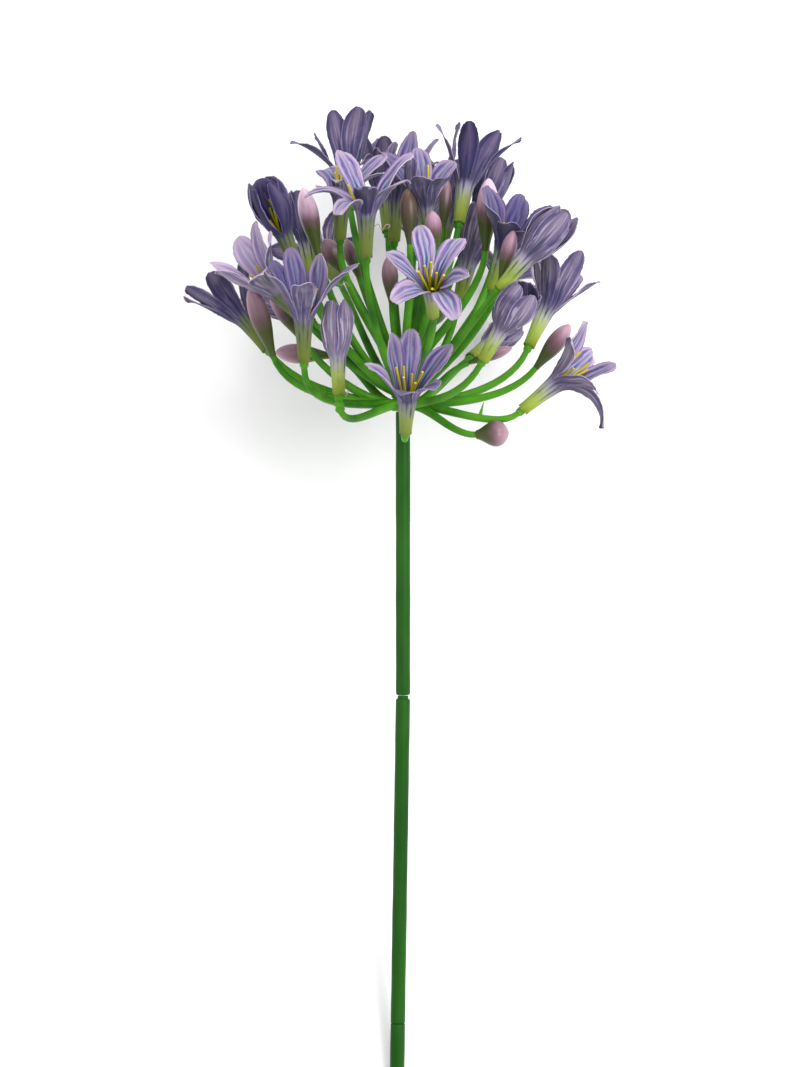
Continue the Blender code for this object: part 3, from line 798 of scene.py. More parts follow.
def master_floret():
    bpy.ops.object.select_all(action="DESELECT")
    bpy.ops.mesh.primitive_circle_add(vertices=PETALS * COLUMNS, radius=TUBE_RADIUS, fill_type="NOTHING")
    thing = bpy.context.object
    thing.name = "master_floret"
    for name in ("petal", "row", "column"):
        thing.data.attributes.new(name, "INT", "POINT")
    bpy.ops.object.mode_set(mode="EDIT")
    note(thing, 0, 0)
    growth = (MOUTH_RADIUS / TUBE_RADIUS) ** (1 / TUBE_ROWS)
    for row in range(1, TUBE_ROWS + 1):
        rise = (0, 0, MOUTH_HEIGHT / TUBE_ROWS)
        bpy.ops.mesh.extrude_region_move(TRANSFORM_OT_translate={"value": rise})
        bpy.ops.transform.resize(value=(growth, growth, 1.0))
        note(thing, 0, row)
    for petal in range(PETALS):
        select_mouth(thing, petal)
        for row in range(1, PETAL_ROWS + 1):
            rise = (0, 0, PETAL_LENGTH / PETAL_ROWS)
            bpy.ops.mesh.extrude_region_move(TRANSFORM_OT_translate={"value": rise})
            note(thing, petal, TUBE_ROWS + row)
    bpy.ops.mesh.select_all(action="SELECT")
    bpy.ops.mesh.normals_make_consistent(inside=False)
    wall = bmesh.from_edit_mesh(thing.data).faces
    wall.ensure_lookup_table()
    if wall[0].normal.dot(wall[0].calc_center_median()) < 0:
        bpy.ops.mesh.flip_normals()
    bpy.ops.object.mode_set(mode="OBJECT")
    return thing


floret_master = master_floret()
print("the master floret has", len(floret_master.data.vertices), "points")

# %% [markdown]
# ## The print's map
#
# The fabric's print runs along each petal and down the tube below it, so it needs a UV map of its own:
# U runs across one petal and V from the open end of the tube to the tip. Each face belongs to the sixth
# of the floret that its middle lies in, which keeps the map whole at the borders between petals.

# %% UV map of the print
def print_map(thing):
    mesh = thing.data
    layer = mesh.uv_layers.new(name="print")
    notes = {name: [item.value for item in mesh.attributes[name].data] for name in ("petal", "row")}
    for face in mesh.polygons:
        centre = face.center
        angle = math.degrees(math.atan2(centre.y, centre.x)) - 90
        sector = round(angle / 60) * 60 + 90
        for loop_index in face.loop_indices:
            vertex = mesh.loops[loop_index].vertex_index
            place = mesh.vertices[vertex].co
            offset = (math.degrees(math.atan2(place.y, place.x)) - sector + 180) % 360 - 180
            row = notes["row"][vertex]
            if row <= TUBE_ROWS:
                along = TUBE_PRINT * row / TUBE_ROWS
            else:
                along = TUBE_PRINT + (1 - TUBE_PRINT) * (row - TUBE_ROWS) / PETAL_ROWS
            layer.data[loop_index].uv = (0.5 + offset / 60, along)


print_map(floret_master)
print("the print is mapped on", len(floret_master.data.polygons), "faces")

# %% [markdown]
# ## Bending a petal
#
# A petal's middle line leaves the mouth of the tube almost straight and leans outwards more and more.
# How far it leans at its tip is what opens the floret. The width swells from the mouth to two thirds of
# the petal and closes in a rounded oval cap. Across, a petal is a shallow gutter with a pressed crease
# at its midrib, its edges curl back a little, and they waver, as cut fabric does.

# %% The shape of a petal
PETAL_WIDTH = 10.8 * MM
PETAL_WIDEST = 0.66
CAP_TURN = math.radians(70)
SWELL_POWER = 1.5
CLOSED_LEAN = (22, -24)
OPEN_LEAN = (14, 84)
CLOSED_POWER = 1.2
OPEN_POWER = 0.75
LEAN_STEPS = 60
MOST_OF_RING = 1.12
WIDEST_GUTTER = 9.0 * MM
CREASE = 0.75 * MM
CREASE_WIDTH = 0.2
EDGE_CURL = 0.5 * MM
RUFFLE = 0.55 * MM
CRUMPLE = 0.4 * MM


def leans(opening, belly=0.0):
    """The lean along the middle line, in radians, in even steps from the mouth to the tip."""
    start, end = (a + (b - a) * opening for a, b in zip(CLOSED_LEAN, OPEN_LEAN))
    steps = (np.arange(LEAN_STEPS) + 0.5) / LEAN_STEPS
    power = CLOSED_POWER + (OPEN_POWER - CLOSED_POWER) * np.clip(opening, 0, 1)
    return np.radians(start + belly + (end - start - 2 * belly) * steps**power)


def middle_line(opening, belly, length, size):
    """The middle line's distances from the axis, its heights and its leans, with the mouth first."""
    lean = leans(opening, belly)
    step = length / LEAN_STEPS
    away = MOUTH_RADIUS * size + np.concatenate([[0], np.cumsum(np.sin(lean))]) * step
    height = MOUTH_HEIGHT * size + np.concatenate([[0], np.cumsum(np.cos(lean))]) * step
    return away, height, np.concatenate([[lean[0]], lean])


def flat_plan(across, along, cap_start=0.62):
    """On the flat petal, the share of its length that a point has reached, and half the width there."""
    foot = MOUTH_RADIUS / PETAL_WIDTH
    swell = foot + (1 - foot) * np.sin(np.pi / 2 * np.clip(along / PETAL_WIDEST, 0, 1)) ** SWELL_POWER
    cap = np.clip((along - cap_start) / (1 - cap_start), 0, 1)
    bulge = (1 - across**2) * cap + across**2 * np.sin(CAP_TURN * cap)
    reached = np.where(cap > 0, cap_start + (1 - cap_start) * bulge, along)
    return reached, PETAL_WIDTH / 2 * swell * np.cos(CAP_TURN * cap)


def smooth(value):
    share = np.clip(value, 0, 1)
    return share * share * (3 - 2 * share)


widest = 2 * flat_plan(np.array(0.0), np.array(PETAL_WIDEST))[1]
print("a petal is", round(float(widest) / MM, 1), "mm wide at its widest")

# %% [markdown]
# ## Opening each petal as the photograph shows it
#
# The photograph shows where most petals end. For such a petal the script tries many amounts of
# opening, of swing to the side and of length, and keeps the one whose tip is seen nearest to the
# photograph's, while staying near the usual shape. Petals that the photograph hides take the floret's
# own opening with a small seeded change.

# %% Choosing a petal's bend
SWING_WIDTH = 14.0
OPEN_WIDTH = 0.35
LENGTH_WIDTH = 0.1
SEEN_WIDTH = 2.5
FAR_OFF = 6.0
TWIST = 14.0
# How much further the petals of some cups lean out at their feet and in at their tips, in degrees
CUP_BELLIES = {"04": 10.0, "09": 5.0, "18": 8.0, "20": 20.0}
# The petals of a closed cup overlap, so they are wider, and in the fattest cup wider still
CLOSED_WIDER = 0.15
CUP_WIDTHS = {"18": 1.05, "20": 1.2}
# Petals that stand apart from their neighbours: opening, swing, stretch, twist and share of the width
POSED_PETALS = {
    ("04", 0): (0.0, 14, 0.93, -14, 0.8),
    ("04", 1): (0.08, 8, 0.93, 0, 1.1),
    ("04", 2): (0.1, 10, 0.95, 0, 1.1),
    ("04", 3): (0.08, -15, 0.97, 0, 1.25),
    ("04", 4): (0.08, -10, 0.98, 0, 1.25),
    ("04", 5): (0.06, -28, 0.9, 0, 0.95),
    ("09", 0): (0.08, 12, 1.0, 12, 1.0),
    ("09", 1): (0.0, 10, 0.85, 0, 1.05),
    ("09", 2): (0.0, 20, 0.88, 0, 1.15),
    ("09", 3): (0.0, 5, 0.88, 0, 1.15),
    ("09", 4): (0.0, 0, 0.88, 0, 1.05),
    ("09", 5): (0.02, 4, 1.0, -4, 1.1),
}
EDGE_TURN_AT = 0.6
dice = random.Random(5)
openings = np.arange(-0.1, 1.4, 0.025)
swings = np.arange(-33.0, 34.0, 3.0)
stretches = np.arange(0.8, 1.22, 0.03)


def chosen_bend(floret_place, petal, opening, belly, size, tip):
    """The opening, swing and stretch that bring the petal's tip to the pixel where it is seen."""
    leaning = [leans(o, belly) for o in openings]
    unit_away = np.array([np.sin(lean).mean() for lean in leaning])
    unit_height = np.array([np.cos(lean).mean() for lean in leaning])
    open_grid, swing_grid, stretch_grid = np.meshgrid(openings, swings, stretches, indexing="ij")
    reach = PETAL_LENGTH * size * stretch_grid
    away = MOUTH_RADIUS * size + unit_away[:, None, None] * reach
    height = MOUTH_HEIGHT * size + unit_height[:, None, None] * reach
    angle = np.radians(90 + 60 * petal + swing_grid)
    local = np.stack([away * np.cos(angle), away * np.sin(angle), height, np.ones_like(away)], axis=-1)
    places = local @ np.array(floret_place).T[:, :3]
    miss = np.linalg.norm(seen_at(places) - np.array(tip), axis=-1)
    cost = (miss / SEEN_WIDTH) ** 2 + ((open_grid - opening) / OPEN_WIDTH) ** 2
    cost += (swing_grid / SWING_WIDTH) ** 2 + ((stretch_grid - 1) / LENGTH_WIDTH) ** 2
    best = np.unravel_index(cost.argmin(), cost.shape)
    return openings[best[0]], swings[best[1]], stretches[best[2]], miss[best]


def edge_on(floret_place, petal, opening, swing):
    """The twist in degrees that turns the edge of a petal's outer half to the camera."""
    angle = math.radians(90 + 60 * petal + swing)
    outward = Vector((math.cos(angle), math.sin(angle), 0.0))
    sideways = Vector((-math.sin(angle), math.cos(angle), 0.0))
    lean = leans(opening).mean()
    inward = Vector((0.0, 0.0, math.sin(lean))) - outward * math.cos(lean)
    view = floret_place.to_3x3().inverted() @ Vector((0.0, 0.0, 1.0))
    return math.degrees(math.atan(view.dot(inward) / view.dot(sideways))) / EDGE_TURN_AT


def closedness(opening):
    """1 for a closed floret, and 0 for one that is half open or more."""
    return 1 - min(opening, 0.5) / 0.5


def bends_of(name):
    """For each petal of a floret: its opening, swing, stretch, twist and share of the width."""
    place, aim, opening, size, turn, _ = FLORETS[name]
    where = facing(place, aim, math.radians(turn))
    bends = []
    for petal, tip in enumerate(PETAL_TIPS.get(name, (None,) * PETALS)):
        bend = (opening + dice.uniform(-0.06, 0.06), dice.uniform(-5, 5), dice.uniform(0.95, 1.05))
        twist, width = TWIST * dice.uniform(-1, 1), dice.uniform(0.92, 1.06)
        wider = CUP_WIDTHS.get(name, 1.0) * (1 + CLOSED_WIDER * closedness(opening))
        if (name, petal) in POSED_PETALS:
            *bend, twist, width = POSED_PETALS[name, petal]
        elif tip is not None:
            *bend, miss = chosen_bend(where, petal, opening, CUP_BELLIES.get(name, 0.0), size, tip[:2])
            twist = tip[2] if len(tip) > 2 else twist
            if twist == "edge":
                twist = edge_on(where, petal, *bend[:2])
            if miss > FAR_OFF:
                print("petal", petal, "of floret", name, "is seen", round(miss, 1), "pixels off")
        bends.append((*bend, math.radians(twist), width * wider))
    return bends


# %% [markdown]
# ## Bending a floret
#
# A copy of the master is bent point by point: the notes say which petal a point belongs to and where
# on it. The tube's open end is ragged, so its lowest points move up and down a little. In a closed
# floret three petals lie inside the other three.

# %% Bending the fabric
TUBE_FLARE = 1.5
RAGGED = 0.5 * MM
CAP_STARTS = (0.5, 0.68)
INNER_WHORL = 0.45 * MM
FABRIC = 0.35 * MM
FRAY = 0.16 * MM
SHADE_CHANGE = 0.2
# Petals whose colour differs from that of their floret: some by their dye, and some painted darker as painted shade,
# such as the back petals inside the cup of 20 and the curled left petals of 08
PETAL_DYES_AND_PAINTED_SHADE = {
    ("02", 0): 0.9, ("08", 3): 0.7, ("08", 4): 1.0, ("11", 0): 0.9, ("17", 0): 1.0,
    ("20", 1): 0.7, ("20", 2): 1.2, ("20", 3): 1.2, ("20", 4): 0.8,
}
# Painted shade on the tubes: to the left of this side, in millimetres, and over this width the tubes are painted darker
# olive, away from the key lamp; some tubes are given their own amount
SHADED_TUBE_FROM = 40.0
SHADED_TUBE_OVER = 60.0
PAINTED_TUBE_SHADES = {"05": 0.1, "09": 0.25}


def notes_of(mesh):
    found = {}
    for name in ("petal", "row", "column"):
        values = np.empty(len(mesh.vertices), dtype=np.int32)
        mesh.attributes[name].data.foreach_get("value", values)
        found[name] = values
    return found


def bend_tube(places, rows, size):
    """The tube is nearly straight at its foot and flares towards its mouth."""
    share = rows / TUBE_ROWS
    radius = TUBE_RADIUS + (MOUTH_RADIUS * size - TUBE_RADIUS) * share**TUBE_FLARE
    angle = np.arctan2(places[:, 1], places[:, 0])
    ragged = np.array([dice.uniform(-1, 1) * RAGGED for _ in range(len(places))]) * (rows == 0)
    height = MOUTH_HEIGHT * size * share + ragged
    return np.stack([radius * np.cos(angle), radius * np.sin(angle), height], axis=-1)


def bend_petal(petal, across, along, bend, belly, size, closed):
    """The places of one petal's points, from how far across and along it they are."""
    opening, swing, stretch, twist, width = bend
    away, height, lean = middle_line(opening, belly, PETAL_LENGTH * size * stretch, size)
    reached, half = flat_plan(across, along, dice.uniform(*CAP_STARTS))
    at = np.linspace(0, 1, LEAN_STEPS + 1)
    radius, level, tilt = (np.interp(reached, at, values) for values in (away, height, lean))
    half = width * np.minimum(half * size, MOST_OF_RING * radius / 2 + 3 * MM * max(opening, 0))
    angle = np.radians(90 + 60 * petal + swing * smooth(reached / 0.4))
    outward = np.stack([np.cos(angle), np.sin(angle), np.zeros_like(angle)], axis=-1)
    sideways = np.stack([-np.sin(angle), np.cos(angle), np.zeros_like(angle)], axis=-1)
    up = np.array([0.0, 0.0, 1.0])
    inward = up * np.sin(tilt)[:, None] - outward * np.cos(tilt)[:, None]
    grown_in = smooth(along / 0.2)
    gutter = dice.uniform(0.7, 1.2) * across**2 * half**2 / (2 * np.minimum(radius, WIDEST_GUTTER))
    crease = -CREASE * np.exp(-((across / CREASE_WIDTH) ** 2)) * grown_in * (1 - 0.75 * along)
    curl = -EDGE_CURL * dice.uniform(0, 2) * smooth((np.abs(across) - 0.5) / 0.5) * smooth(along / 0.6)
    phase, pace = dice.uniform(0, math.tau), dice.uniform(7, 12)
    ruffle = RUFFLE * np.sin(pace * along + phase + 2 * across) * across**2 * smooth(along / 0.5)
    crumple = CRUMPLE * np.sin(6 * along + pace) * np.cos(2.5 * across + phase) * smooth(along / 0.4)
    layer = INNER_WHORL * (petal % 2) * smooth(along / 0.3) * closed
    depth = gutter + crease + curl * (1 - closed) + ruffle + crumple + layer
    roll = twist * along
    offset = across * half
    shift = sideways * (offset * np.cos(roll))[:, None] + inward * (depth + offset * np.sin(roll))[:, None]
    return outward * radius[:, None] + up * level[:, None] + shift


def write_values(mesh, name, values):
    mesh.attributes.new(name, "FLOAT", "POINT").data.foreach_set("value", values)


def painted_tube_shade(name):
    """How much painted shade darkens the floret's tube, from 0 for bright green on the right side, where the key lamp
    shines, to 1 on the left.
    """
    side = FLORETS[name][0][0]
    return PAINTED_TUBE_SHADES.get(name, min(max((SHADED_TUBE_FROM - side) / SHADED_TUBE_OVER, 0.0), 1.0))


def bend_floret(mesh, name):
    """Moves every point of a copy of the master to its place in this floret."""
    _, _, opening, size, _, _ = FLORETS[name]
    notes = notes_of(mesh)
    places = np.empty(len(mesh.vertices) * 3)
    mesh.vertices.foreach_get("co", places)
    places = places.reshape(-1, 3)
    tube = notes["row"] <= TUBE_ROWS
    places[tube] = bend_tube(places[tube], notes["row"][tube], size)
    closed = closedness(opening)
    for petal, bend in enumerate(bends_of(name)):
        mine = (notes["petal"] == petal) & ~tube
        across = notes["column"][mine] / (COLUMNS / 2)
        along = (notes["row"][mine] - TUBE_ROWS) / PETAL_ROWS
        belly = CUP_BELLIES.get(name, 0.0)
        places[mine] = bend_petal(petal, across, along, bend, belly, size, closed)
    mesh.vertices.foreach_set("co", places.ravel())
    # The shade of each point: partly the dye of the floret and its petals, partly painted shade and light
    usual = FLORET_DYES_PAINTED_SHADE_AND_LIGHT[name]
    shades = [usual + dice.uniform(-SHADE_CHANGE, SHADE_CHANGE) for _ in range(PETALS)]
    shades = np.array([PETAL_DYES_AND_PAINTED_SHADE.get((name, petal), shade) for petal, shade in enumerate(shades)])
    write_values(mesh, "shade", np.where(tube, usual, shades[notes["petal"]]))
    # Painted shade: how much the tube is painted darker olive on the left side of the head
    write_values(mesh, "tube_painted_shade", np.full(len(tube), painted_tube_shade(name)))
    mesh.update()


print("a floret's fabric is", FABRIC / MM, "mm thick")

# %% [markdown]
# ## The print on the fabric
#
# The inner face is lilac: pale pink edges, two violet bands, a pale middle and a blue line at the
# midrib that fades towards the tip. The outer face is greyer and darker, with violet edges. On the tube
# the lilac fades through near white to yellow green, painted darker olive on the left side of the head as
# painted shade away from the key lamp, with blue streaks running down from between the petals. The dye has
# run a little, so noise drawn out along the petal moves all of these.

# %% Printed fabric
WEAVE_ACROSS = 24
WEAVE_ALONG = 104


class Fabric(Finish):
    """A fabric finish, which knows where it is on the print, how dark the floret is by its dye and by painted shade and
    light, and how much painted shade darkens its tube.
    """

    def __init__(self, name, sheen):
        super().__init__(name, roughness=0.75, sheen_weight=sheen, sheen_roughness=0.5, specular_ior_level=0.12)
        place = self.node("ShaderNodeUVMap", uv_map="print").outputs[0]
        spot = self.node("ShaderNodeTexCoord").outputs["Object"]
        split = self.node("ShaderNodeSeparateXYZ", {0: place})
        self.shade = self.node("ShaderNodeAttribute", attribute_name="shade").outputs["Fac"]
        # The amount of painted shade on the tube
        self.tube_painted_shade = self.node("ShaderNodeAttribute", attribute_name="tube_painted_shade").outputs["Fac"]
        self.patches = self.noise(spot, 90.0, 3.0)
        self.fine = self.noise(self.stretched(place, (40.0, 4.0, 1.0)), 1.0, 2.0)
        self.streaks = self.noise(self.stretched(place, (9.0, 2.2, 1.0)), 1.0, 3.0)
        centred = self.sum("SUBTRACT", split.outputs[0], 0.5)
        self.straight = self.sum("MULTIPLY", self.sum("ABSOLUTE", centred), 2.0)
        run = self.sum("MULTIPLY", self.sum("SUBTRACT", self.streaks, 0.5), 0.5)
        spread = self.sum("MULTIPLY", self.sum("SUBTRACT", self.patches, 0.5), 0.5)
        self.aside = self.sum("ADD", self.straight, self.sum("ADD", run, spread))
        self.along = self.sum("ADD", split.outputs[1], self.sum("MULTIPLY", run, 0.14))
        across = self.sum("SINE", self.sum("MULTIPLY", split.outputs[0], math.tau * WEAVE_ACROSS))
        down = self.sum("SINE", self.sum("MULTIPLY", split.outputs[1], math.tau * WEAVE_ALONG))
        threads = self.sum("MULTIPLY", self.sum("MULTIPLY", across, down), 0.3)
        self.bump(self.sum("ADD", threads, self.sum("MULTIPLY", self.fine, 1.6)), 0.16 * MM, 0.6)


def inner_fabric():
    fabric = Fabric("lilac_fabric_inner", 0.1)
    bands = (
        (0.0, "77749c"), (0.17, "9a93b2"), (0.25, "b0a9be"), (0.4, "4d417c"),
        (0.55, "6d5f96"), (0.7, "b09cb6"), (0.85, "c2b0c4"), (0.98, "6f6296"),
    )
    petal = fabric.mix(fabric.part(fabric.patches, 0.4, 0.7, 0.4), fabric.row(fabric.aside, bands), "8c7ca4")
    petal = fabric.mix(fabric.part(fabric.along, 0.84, 0.99, 0.75), petal, "b8a5bb")
    petal = fabric.mix(fabric.part(fabric.fine, 0.5, 0.7, 0.45), petal, "54467e")
    midrib = fabric.sum("MULTIPLY", fabric.fade(fabric.aside, 0.24, 0.08), fabric.fade(fabric.along, 0.88, 0.55))
    petal = fabric.mix(fabric.sum("MULTIPLY", midrib, 0.95), petal, "2b5a80")
    petal = fabric.mix(fabric.part(fabric.along, 0.64, 0.42, 0.55), petal, "2c2656")
    # On dark florets and petals the inner face is mixed towards navy: partly their dye, partly painted shade inside the
    # cups
    petal = fabric.mix(fabric.part(fabric.shade, 0.1, 1.0, 0.75), petal, "2e2a60")
    # On the palest florets, such as 06 on the dim left side, the inner face is mixed towards pale pink: partly their
    # dye, partly painted light
    petal = fabric.mix(fabric.part(fabric.shade, 0.0, -0.5, 0.42), petal, "d6bedc")
    throat = fabric.mix(fabric.fade(fabric.along, 0.2, 0.38), "3a4408", "66722a")
    fabric.colour(fabric.mix(fabric.fade(fabric.along, 0.36, 0.46), throat, petal))
    return fabric.material


def outer_fabric():
    fabric = Fabric("lilac_fabric_outer", 0.1)
    pale_bands = ((0.0, "8d8298"), (0.3, "796c84"), (0.6, "6d6282"), (0.85, "544b74"), (1.0, "8a80a0"))
    dark_bands = ((0.0, "554a68"), (0.25, "4a4064"), (0.55, "302b52"), (0.82, "221e40"), (1.0, "4c4674"))
    pale = fabric.row(fabric.aside, pale_bands)
    # Dark florets take the dark bands on the outer face: partly their dye, partly painted shade on cups and on the
    # florets at the top
    petal = fabric.mix(fabric.shade, pale, fabric.row(fabric.aside, dark_bands))
    glow = fabric.fade(fabric.shade, 1.1, -0.1)
    lights = fabric.sum("MULTIPLY", fabric.part(fabric.streaks, 0.48, 0.66, 0.85), glow)
    petal = fabric.mix(lights, petal, "bcb0c6")
    petal = fabric.mix(fabric.sum("MULTIPLY", fabric.part(fabric.fine, 0.5, 0.75, 0.35), glow), petal, "b4aabc")
    petal = fabric.mix(fabric.part(fabric.patches, 0.5, 0.7, 0.6), petal, "362e5a")
    stops = ((0.0, "8a9c30"), (0.09, "9eb444"), (0.2, "aabc60"), (0.29, "b2b698"), (0.37, "a29cb0"))
    # Painted shade: on the left side of the head the tube is mixed towards dark olive
    tube = fabric.mix(fabric.sum("MULTIPLY", fabric.tube_painted_shade, 0.85), fabric.row(fabric.along, stops), "525e2c")
    tube = fabric.mix(fabric.part(fabric.patches, 0.4, 0.7, 0.5), tube, "6a7a26")
    border = fabric.sum("MULTIPLY", fabric.fade(fabric.straight, 0.6, 0.95), fabric.fade(fabric.along, 0.06, 0.3))
    border = fabric.sum("MULTIPLY", border, fabric.fade(fabric.patches, 0.35, 0.6))
    tube = fabric.mix(fabric.sum("MULTIPLY", border, 0.9), tube, "24325e")
    whole = fabric.mix(fabric.fade(fabric.along, 0.35, 0.45), tube, petal)
    from_foot = fabric.sum("ABSOLUTE", fabric.sum("SUBTRACT", fabric.along, 0.5))
    wedge = fabric.fade(fabric.sum("ADD", fabric.aside, fabric.sum("MULTIPLY", from_foot, 1.5)), 0.55, 0.15)
    wedge = fabric.sum("MULTIPLY", wedge, fabric.part(fabric.shade, -0.7, 0.7, 0.85))
    fabric.colour(fabric.mix(wedge, whole, "222850"))
    return fabric.material


def cut_edge():
    """The pale edge of the cut fabric, where its dye didn't reach."""
    fabric = Fabric("lilac_fabric_edge", 0.1)
    fabric.colour(fabric.mix(fabric.fade(fabric.along, 0.1, 0.4), "8a9458", fabric.mix(fabric.shade, "c0b2c4", "7a7094")))
    return fabric.material


FABRICS = (outer_fabric(), inner_fabric(), cut_edge())
print([fabric.name for fabric in FABRICS])

# %% [markdown]
# ## Making every floret
#
# The bent copy is refined by one level of subdivision, its cut edges are frayed a little, and Solidify
# gives the fabric its thickness. Solidify also lays the second material on the inner face, so one
# floret carries both sides of the print. Last, the floret is moved to its place on its stalk.

# %% Florets
def fray(thing):
    """Moves the points on the open edges of the fabric a little, as if threads had come loose."""
    only(thing)
    bpy.ops.object.mode_set(mode="EDIT")
    shape = bmesh.from_edit_mesh(thing.data)
    for vert in shape.verts:
        if vert.is_boundary:
            vert.co += Vector([dice.uniform(-1, 1) * FRAY for _ in range(3)])
    bmesh.update_edit_mesh(thing.data)
    bpy.ops.object.mode_set(mode="OBJECT")


def make_floret(name):
    place, aim, _, _, turn, _ = FLORETS[name]
    floret = copy_of(floret_master, f"fabric_floret_{name}")
    bend_floret(floret.data, name)
    apply_modifier(floret, "SUBSURF", levels=1, render_levels=1)
    fray(floret)
    for fabric in FABRICS:
        floret.data.materials.append(fabric)
    apply_modifier(
        floret, "SOLIDIFY", thickness=FABRIC, offset=-1.0, material_offset=1, material_offset_rim=2
    )
    floret.data.transform(LAID @ facing(place, aim, math.radians(turn)))
    hand_over(floret, None, [f"corolla_{name}"], math.radians(60))
    return floret


florets = {name: make_floret(name) for name in FLORETS}
bpy.data.objects.remove(floret_master)
print(len(florets), "florets of", len(florets["01"].data.polygons), "faces")

# %% [markdown]
# ## Loose threads
#
# Cut fabric sheds threads, and the photograph shows a few beside the tubes and petals. Each is a thin
# curve. It starts at the point of the floret's fabric that is seen where the photograph shows its root,
# so that it hangs on the cloth, and it curls on from there.

# %% Threads
THREAD_RADIUS = 0.14 * MM
# Each thread: its floret, the pixel of its root, and its other points in millimetres from the root
THREADS = {
    "tube": ("02", (374, 227), ((2.0, 1.4, 0.4), (3.6, -0.9, 0.8), (5.4, 1.2, 0.6), (7.0, 0.9, 0.2), (6.2, -0.4, 0.3))),
    "petal": ("08", (339, 284), ((1.6, -0.9, 0.5), (3.2, 0.3, 0.8), (5.0, -1.4, 0.5))),
    "collar": ("09", (345, 391), ((1.0, -1.4, 0.6), (1.6, 0.2, 0.9), (0.4, -2.6, 0.8))),
    "cup": ("20", (516, 326), ((0.6, -1.2, 0.5), (1.8, -1.0, 0.7))),
}


def thread_root(floret, pixel):
    """The point of a floret's fabric that is seen nearest to a pixel, in the spray's space."""
    back = LAID.inverted()
    points = [back @ vert.co for vert in floret.data.vertices]
    away = np.linalg.norm(seen_at(np.array(points)) - np.array(pixel), axis=1)
    return points[away.argmin()]


def make_thread(name, finish):
    owner_name, pixel, steps = THREADS[name]
    root = thread_root(florets[owner_name], pixel)
    places = [root, *(root + Vector(step) * MM for step in steps)]
    bpy.ops.object.select_all(action="DESELECT")
    bpy.ops.curve.primitive_bezier_curve_add(location=(0, 0, 0))
    curve = bpy.context.object.data
    curve.dimensions = "3D"
    curve.bevel_depth = THREAD_RADIUS
    curve.bevel_resolution = 1
    curve.use_fill_caps = True
    points = curve.splines[0].bezier_points
    points.add(len(places) - len(points))
    for point, place in zip(points, places):
        point.co = place
        point.handle_left_type = point.handle_right_type = "AUTO"
    bpy.ops.object.convert(target="MESH")
    thread = bpy.context.object
    thread.name = f"loose_thread_{name}"
    thread.data.transform(LAID)
    hand_over(thread, finish)


def thread_finish():
    finish = Finish("loose_thread_fabric", roughness=0.8, specular_ior_level=0.12)
    clouds = finish.noise(finish.node("ShaderNodeTexCoord").outputs["Object"], 600.0, 2.0)
    finish.colour(finish.mix(clouds, "8a8458", "b4a8b4"))
    return finish.material


loose_thread = thread_finish()
for thread_name in THREADS:
    make_thread(thread_name, loose_thread)
print(len(THREADS), "loose threads")

# %% [markdown]
# ## The stamens
#
# Six thick yellow filaments stand on a plug at the tip of the stalk, inside the tube, and lean out of
# the open florets. Each is a short curve with a round bevel that grows thicker at its blunt tip. They
# are joined to the plug as one object, and each floret gets a set of its own with other lengths.

# %% Stamens
PLUG_RADIUS = 1.3 * MM
PLUG_HEIGHT = 3.5 * MM
FILAMENTS = 6
FILAMENT_RADIUS = 0.4 * MM
FILAMENT_TIP = 1.4
FILAMENT_SWAY = 2.0 * MM
FLORETS_WITH_STAMENS = ("02", "06", "08", "10", "11", "15", "21")
MORE_STAMENS = ("01", "03", "04", "07", "12", "13", "14", "17", "19", "24", "25", "26")


def filament(angle, length, spread):
    """One filament, from the plug up the tube and outwards past its mouth."""
    bpy.ops.object.select_all(action="DESELECT")
    bpy.ops.curve.primitive_bezier_curve_add(location=(0, 0, 0))
    curve = bpy.context.object.data
    curve.dimensions = "3D"
    curve.bevel_depth = FILAMENT_RADIUS
    curve.bevel_resolution = 2
    curve.resolution_u = 8
    curve.use_fill_caps = True
    points = curve.splines[0].bezier_points
    points.add(1)
    out = Vector((math.cos(angle), math.sin(angle), 0.0))
    side = Vector((-out.y, out.x, 0.0)) * dice.uniform(-1, 1) * FILAMENT_SWAY
    # Each point: how far it is from the axis, its height, its share of the sway and its thickness
    path = (
        (0.7 * MM, 6.5 * MM, 0.0, 1.0),
        (1.3 * MM + spread / 5, 19.0 * MM, 0.6, 1.0),
        (1.3 * MM + spread, 18.0 * MM + length, -1.0, FILAMENT_TIP),
    )
    for point, (away, height, sway, size) in zip(points, path):
        point.co = out * away + side * sway + Vector((0, 0, height))
        point.handle_left_type = point.handle_right_type = "AUTO"
        point.radius = size
    bpy.ops.object.convert(target="MESH")
    return bpy.context.object


def make_stamens(name, finish):
    place, aim, opening, size, turn, _ = FLORETS[name]
    base = STALK_IN_TUBE + GAP
    rings = [(PLUG_RADIUS, base), (PLUG_RADIUS, base + 0.8 * PLUG_HEIGHT), (0.6 * PLUG_RADIUS, base + PLUG_HEIGHT)]
    plug = grown(f"stamen_set_{name}", rings, 16)
    parts = [plug]
    for number in range(FILAMENTS):
        angle = math.tau * number / FILAMENTS + dice.uniform(-0.3, 0.3)
        length = dice.uniform(6, 19) * MM
        spread = dice.uniform(0.5, 7.0) * MM * (0.3 + 0.7 * opening)
        parts.append(filament(angle, length, spread))
    bpy.ops.object.select_all(action="DESELECT")
    for part in parts:
        part.select_set(True)
    bpy.context.view_layer.objects.active = plug
    bpy.ops.object.join()
    plug.data.transform(LAID @ facing(place, aim, math.radians(turn)))
    replaced = [f"stamens_{name}"] if name in FLORETS_WITH_STAMENS else []
    hand_over(plug, finish, replaced)


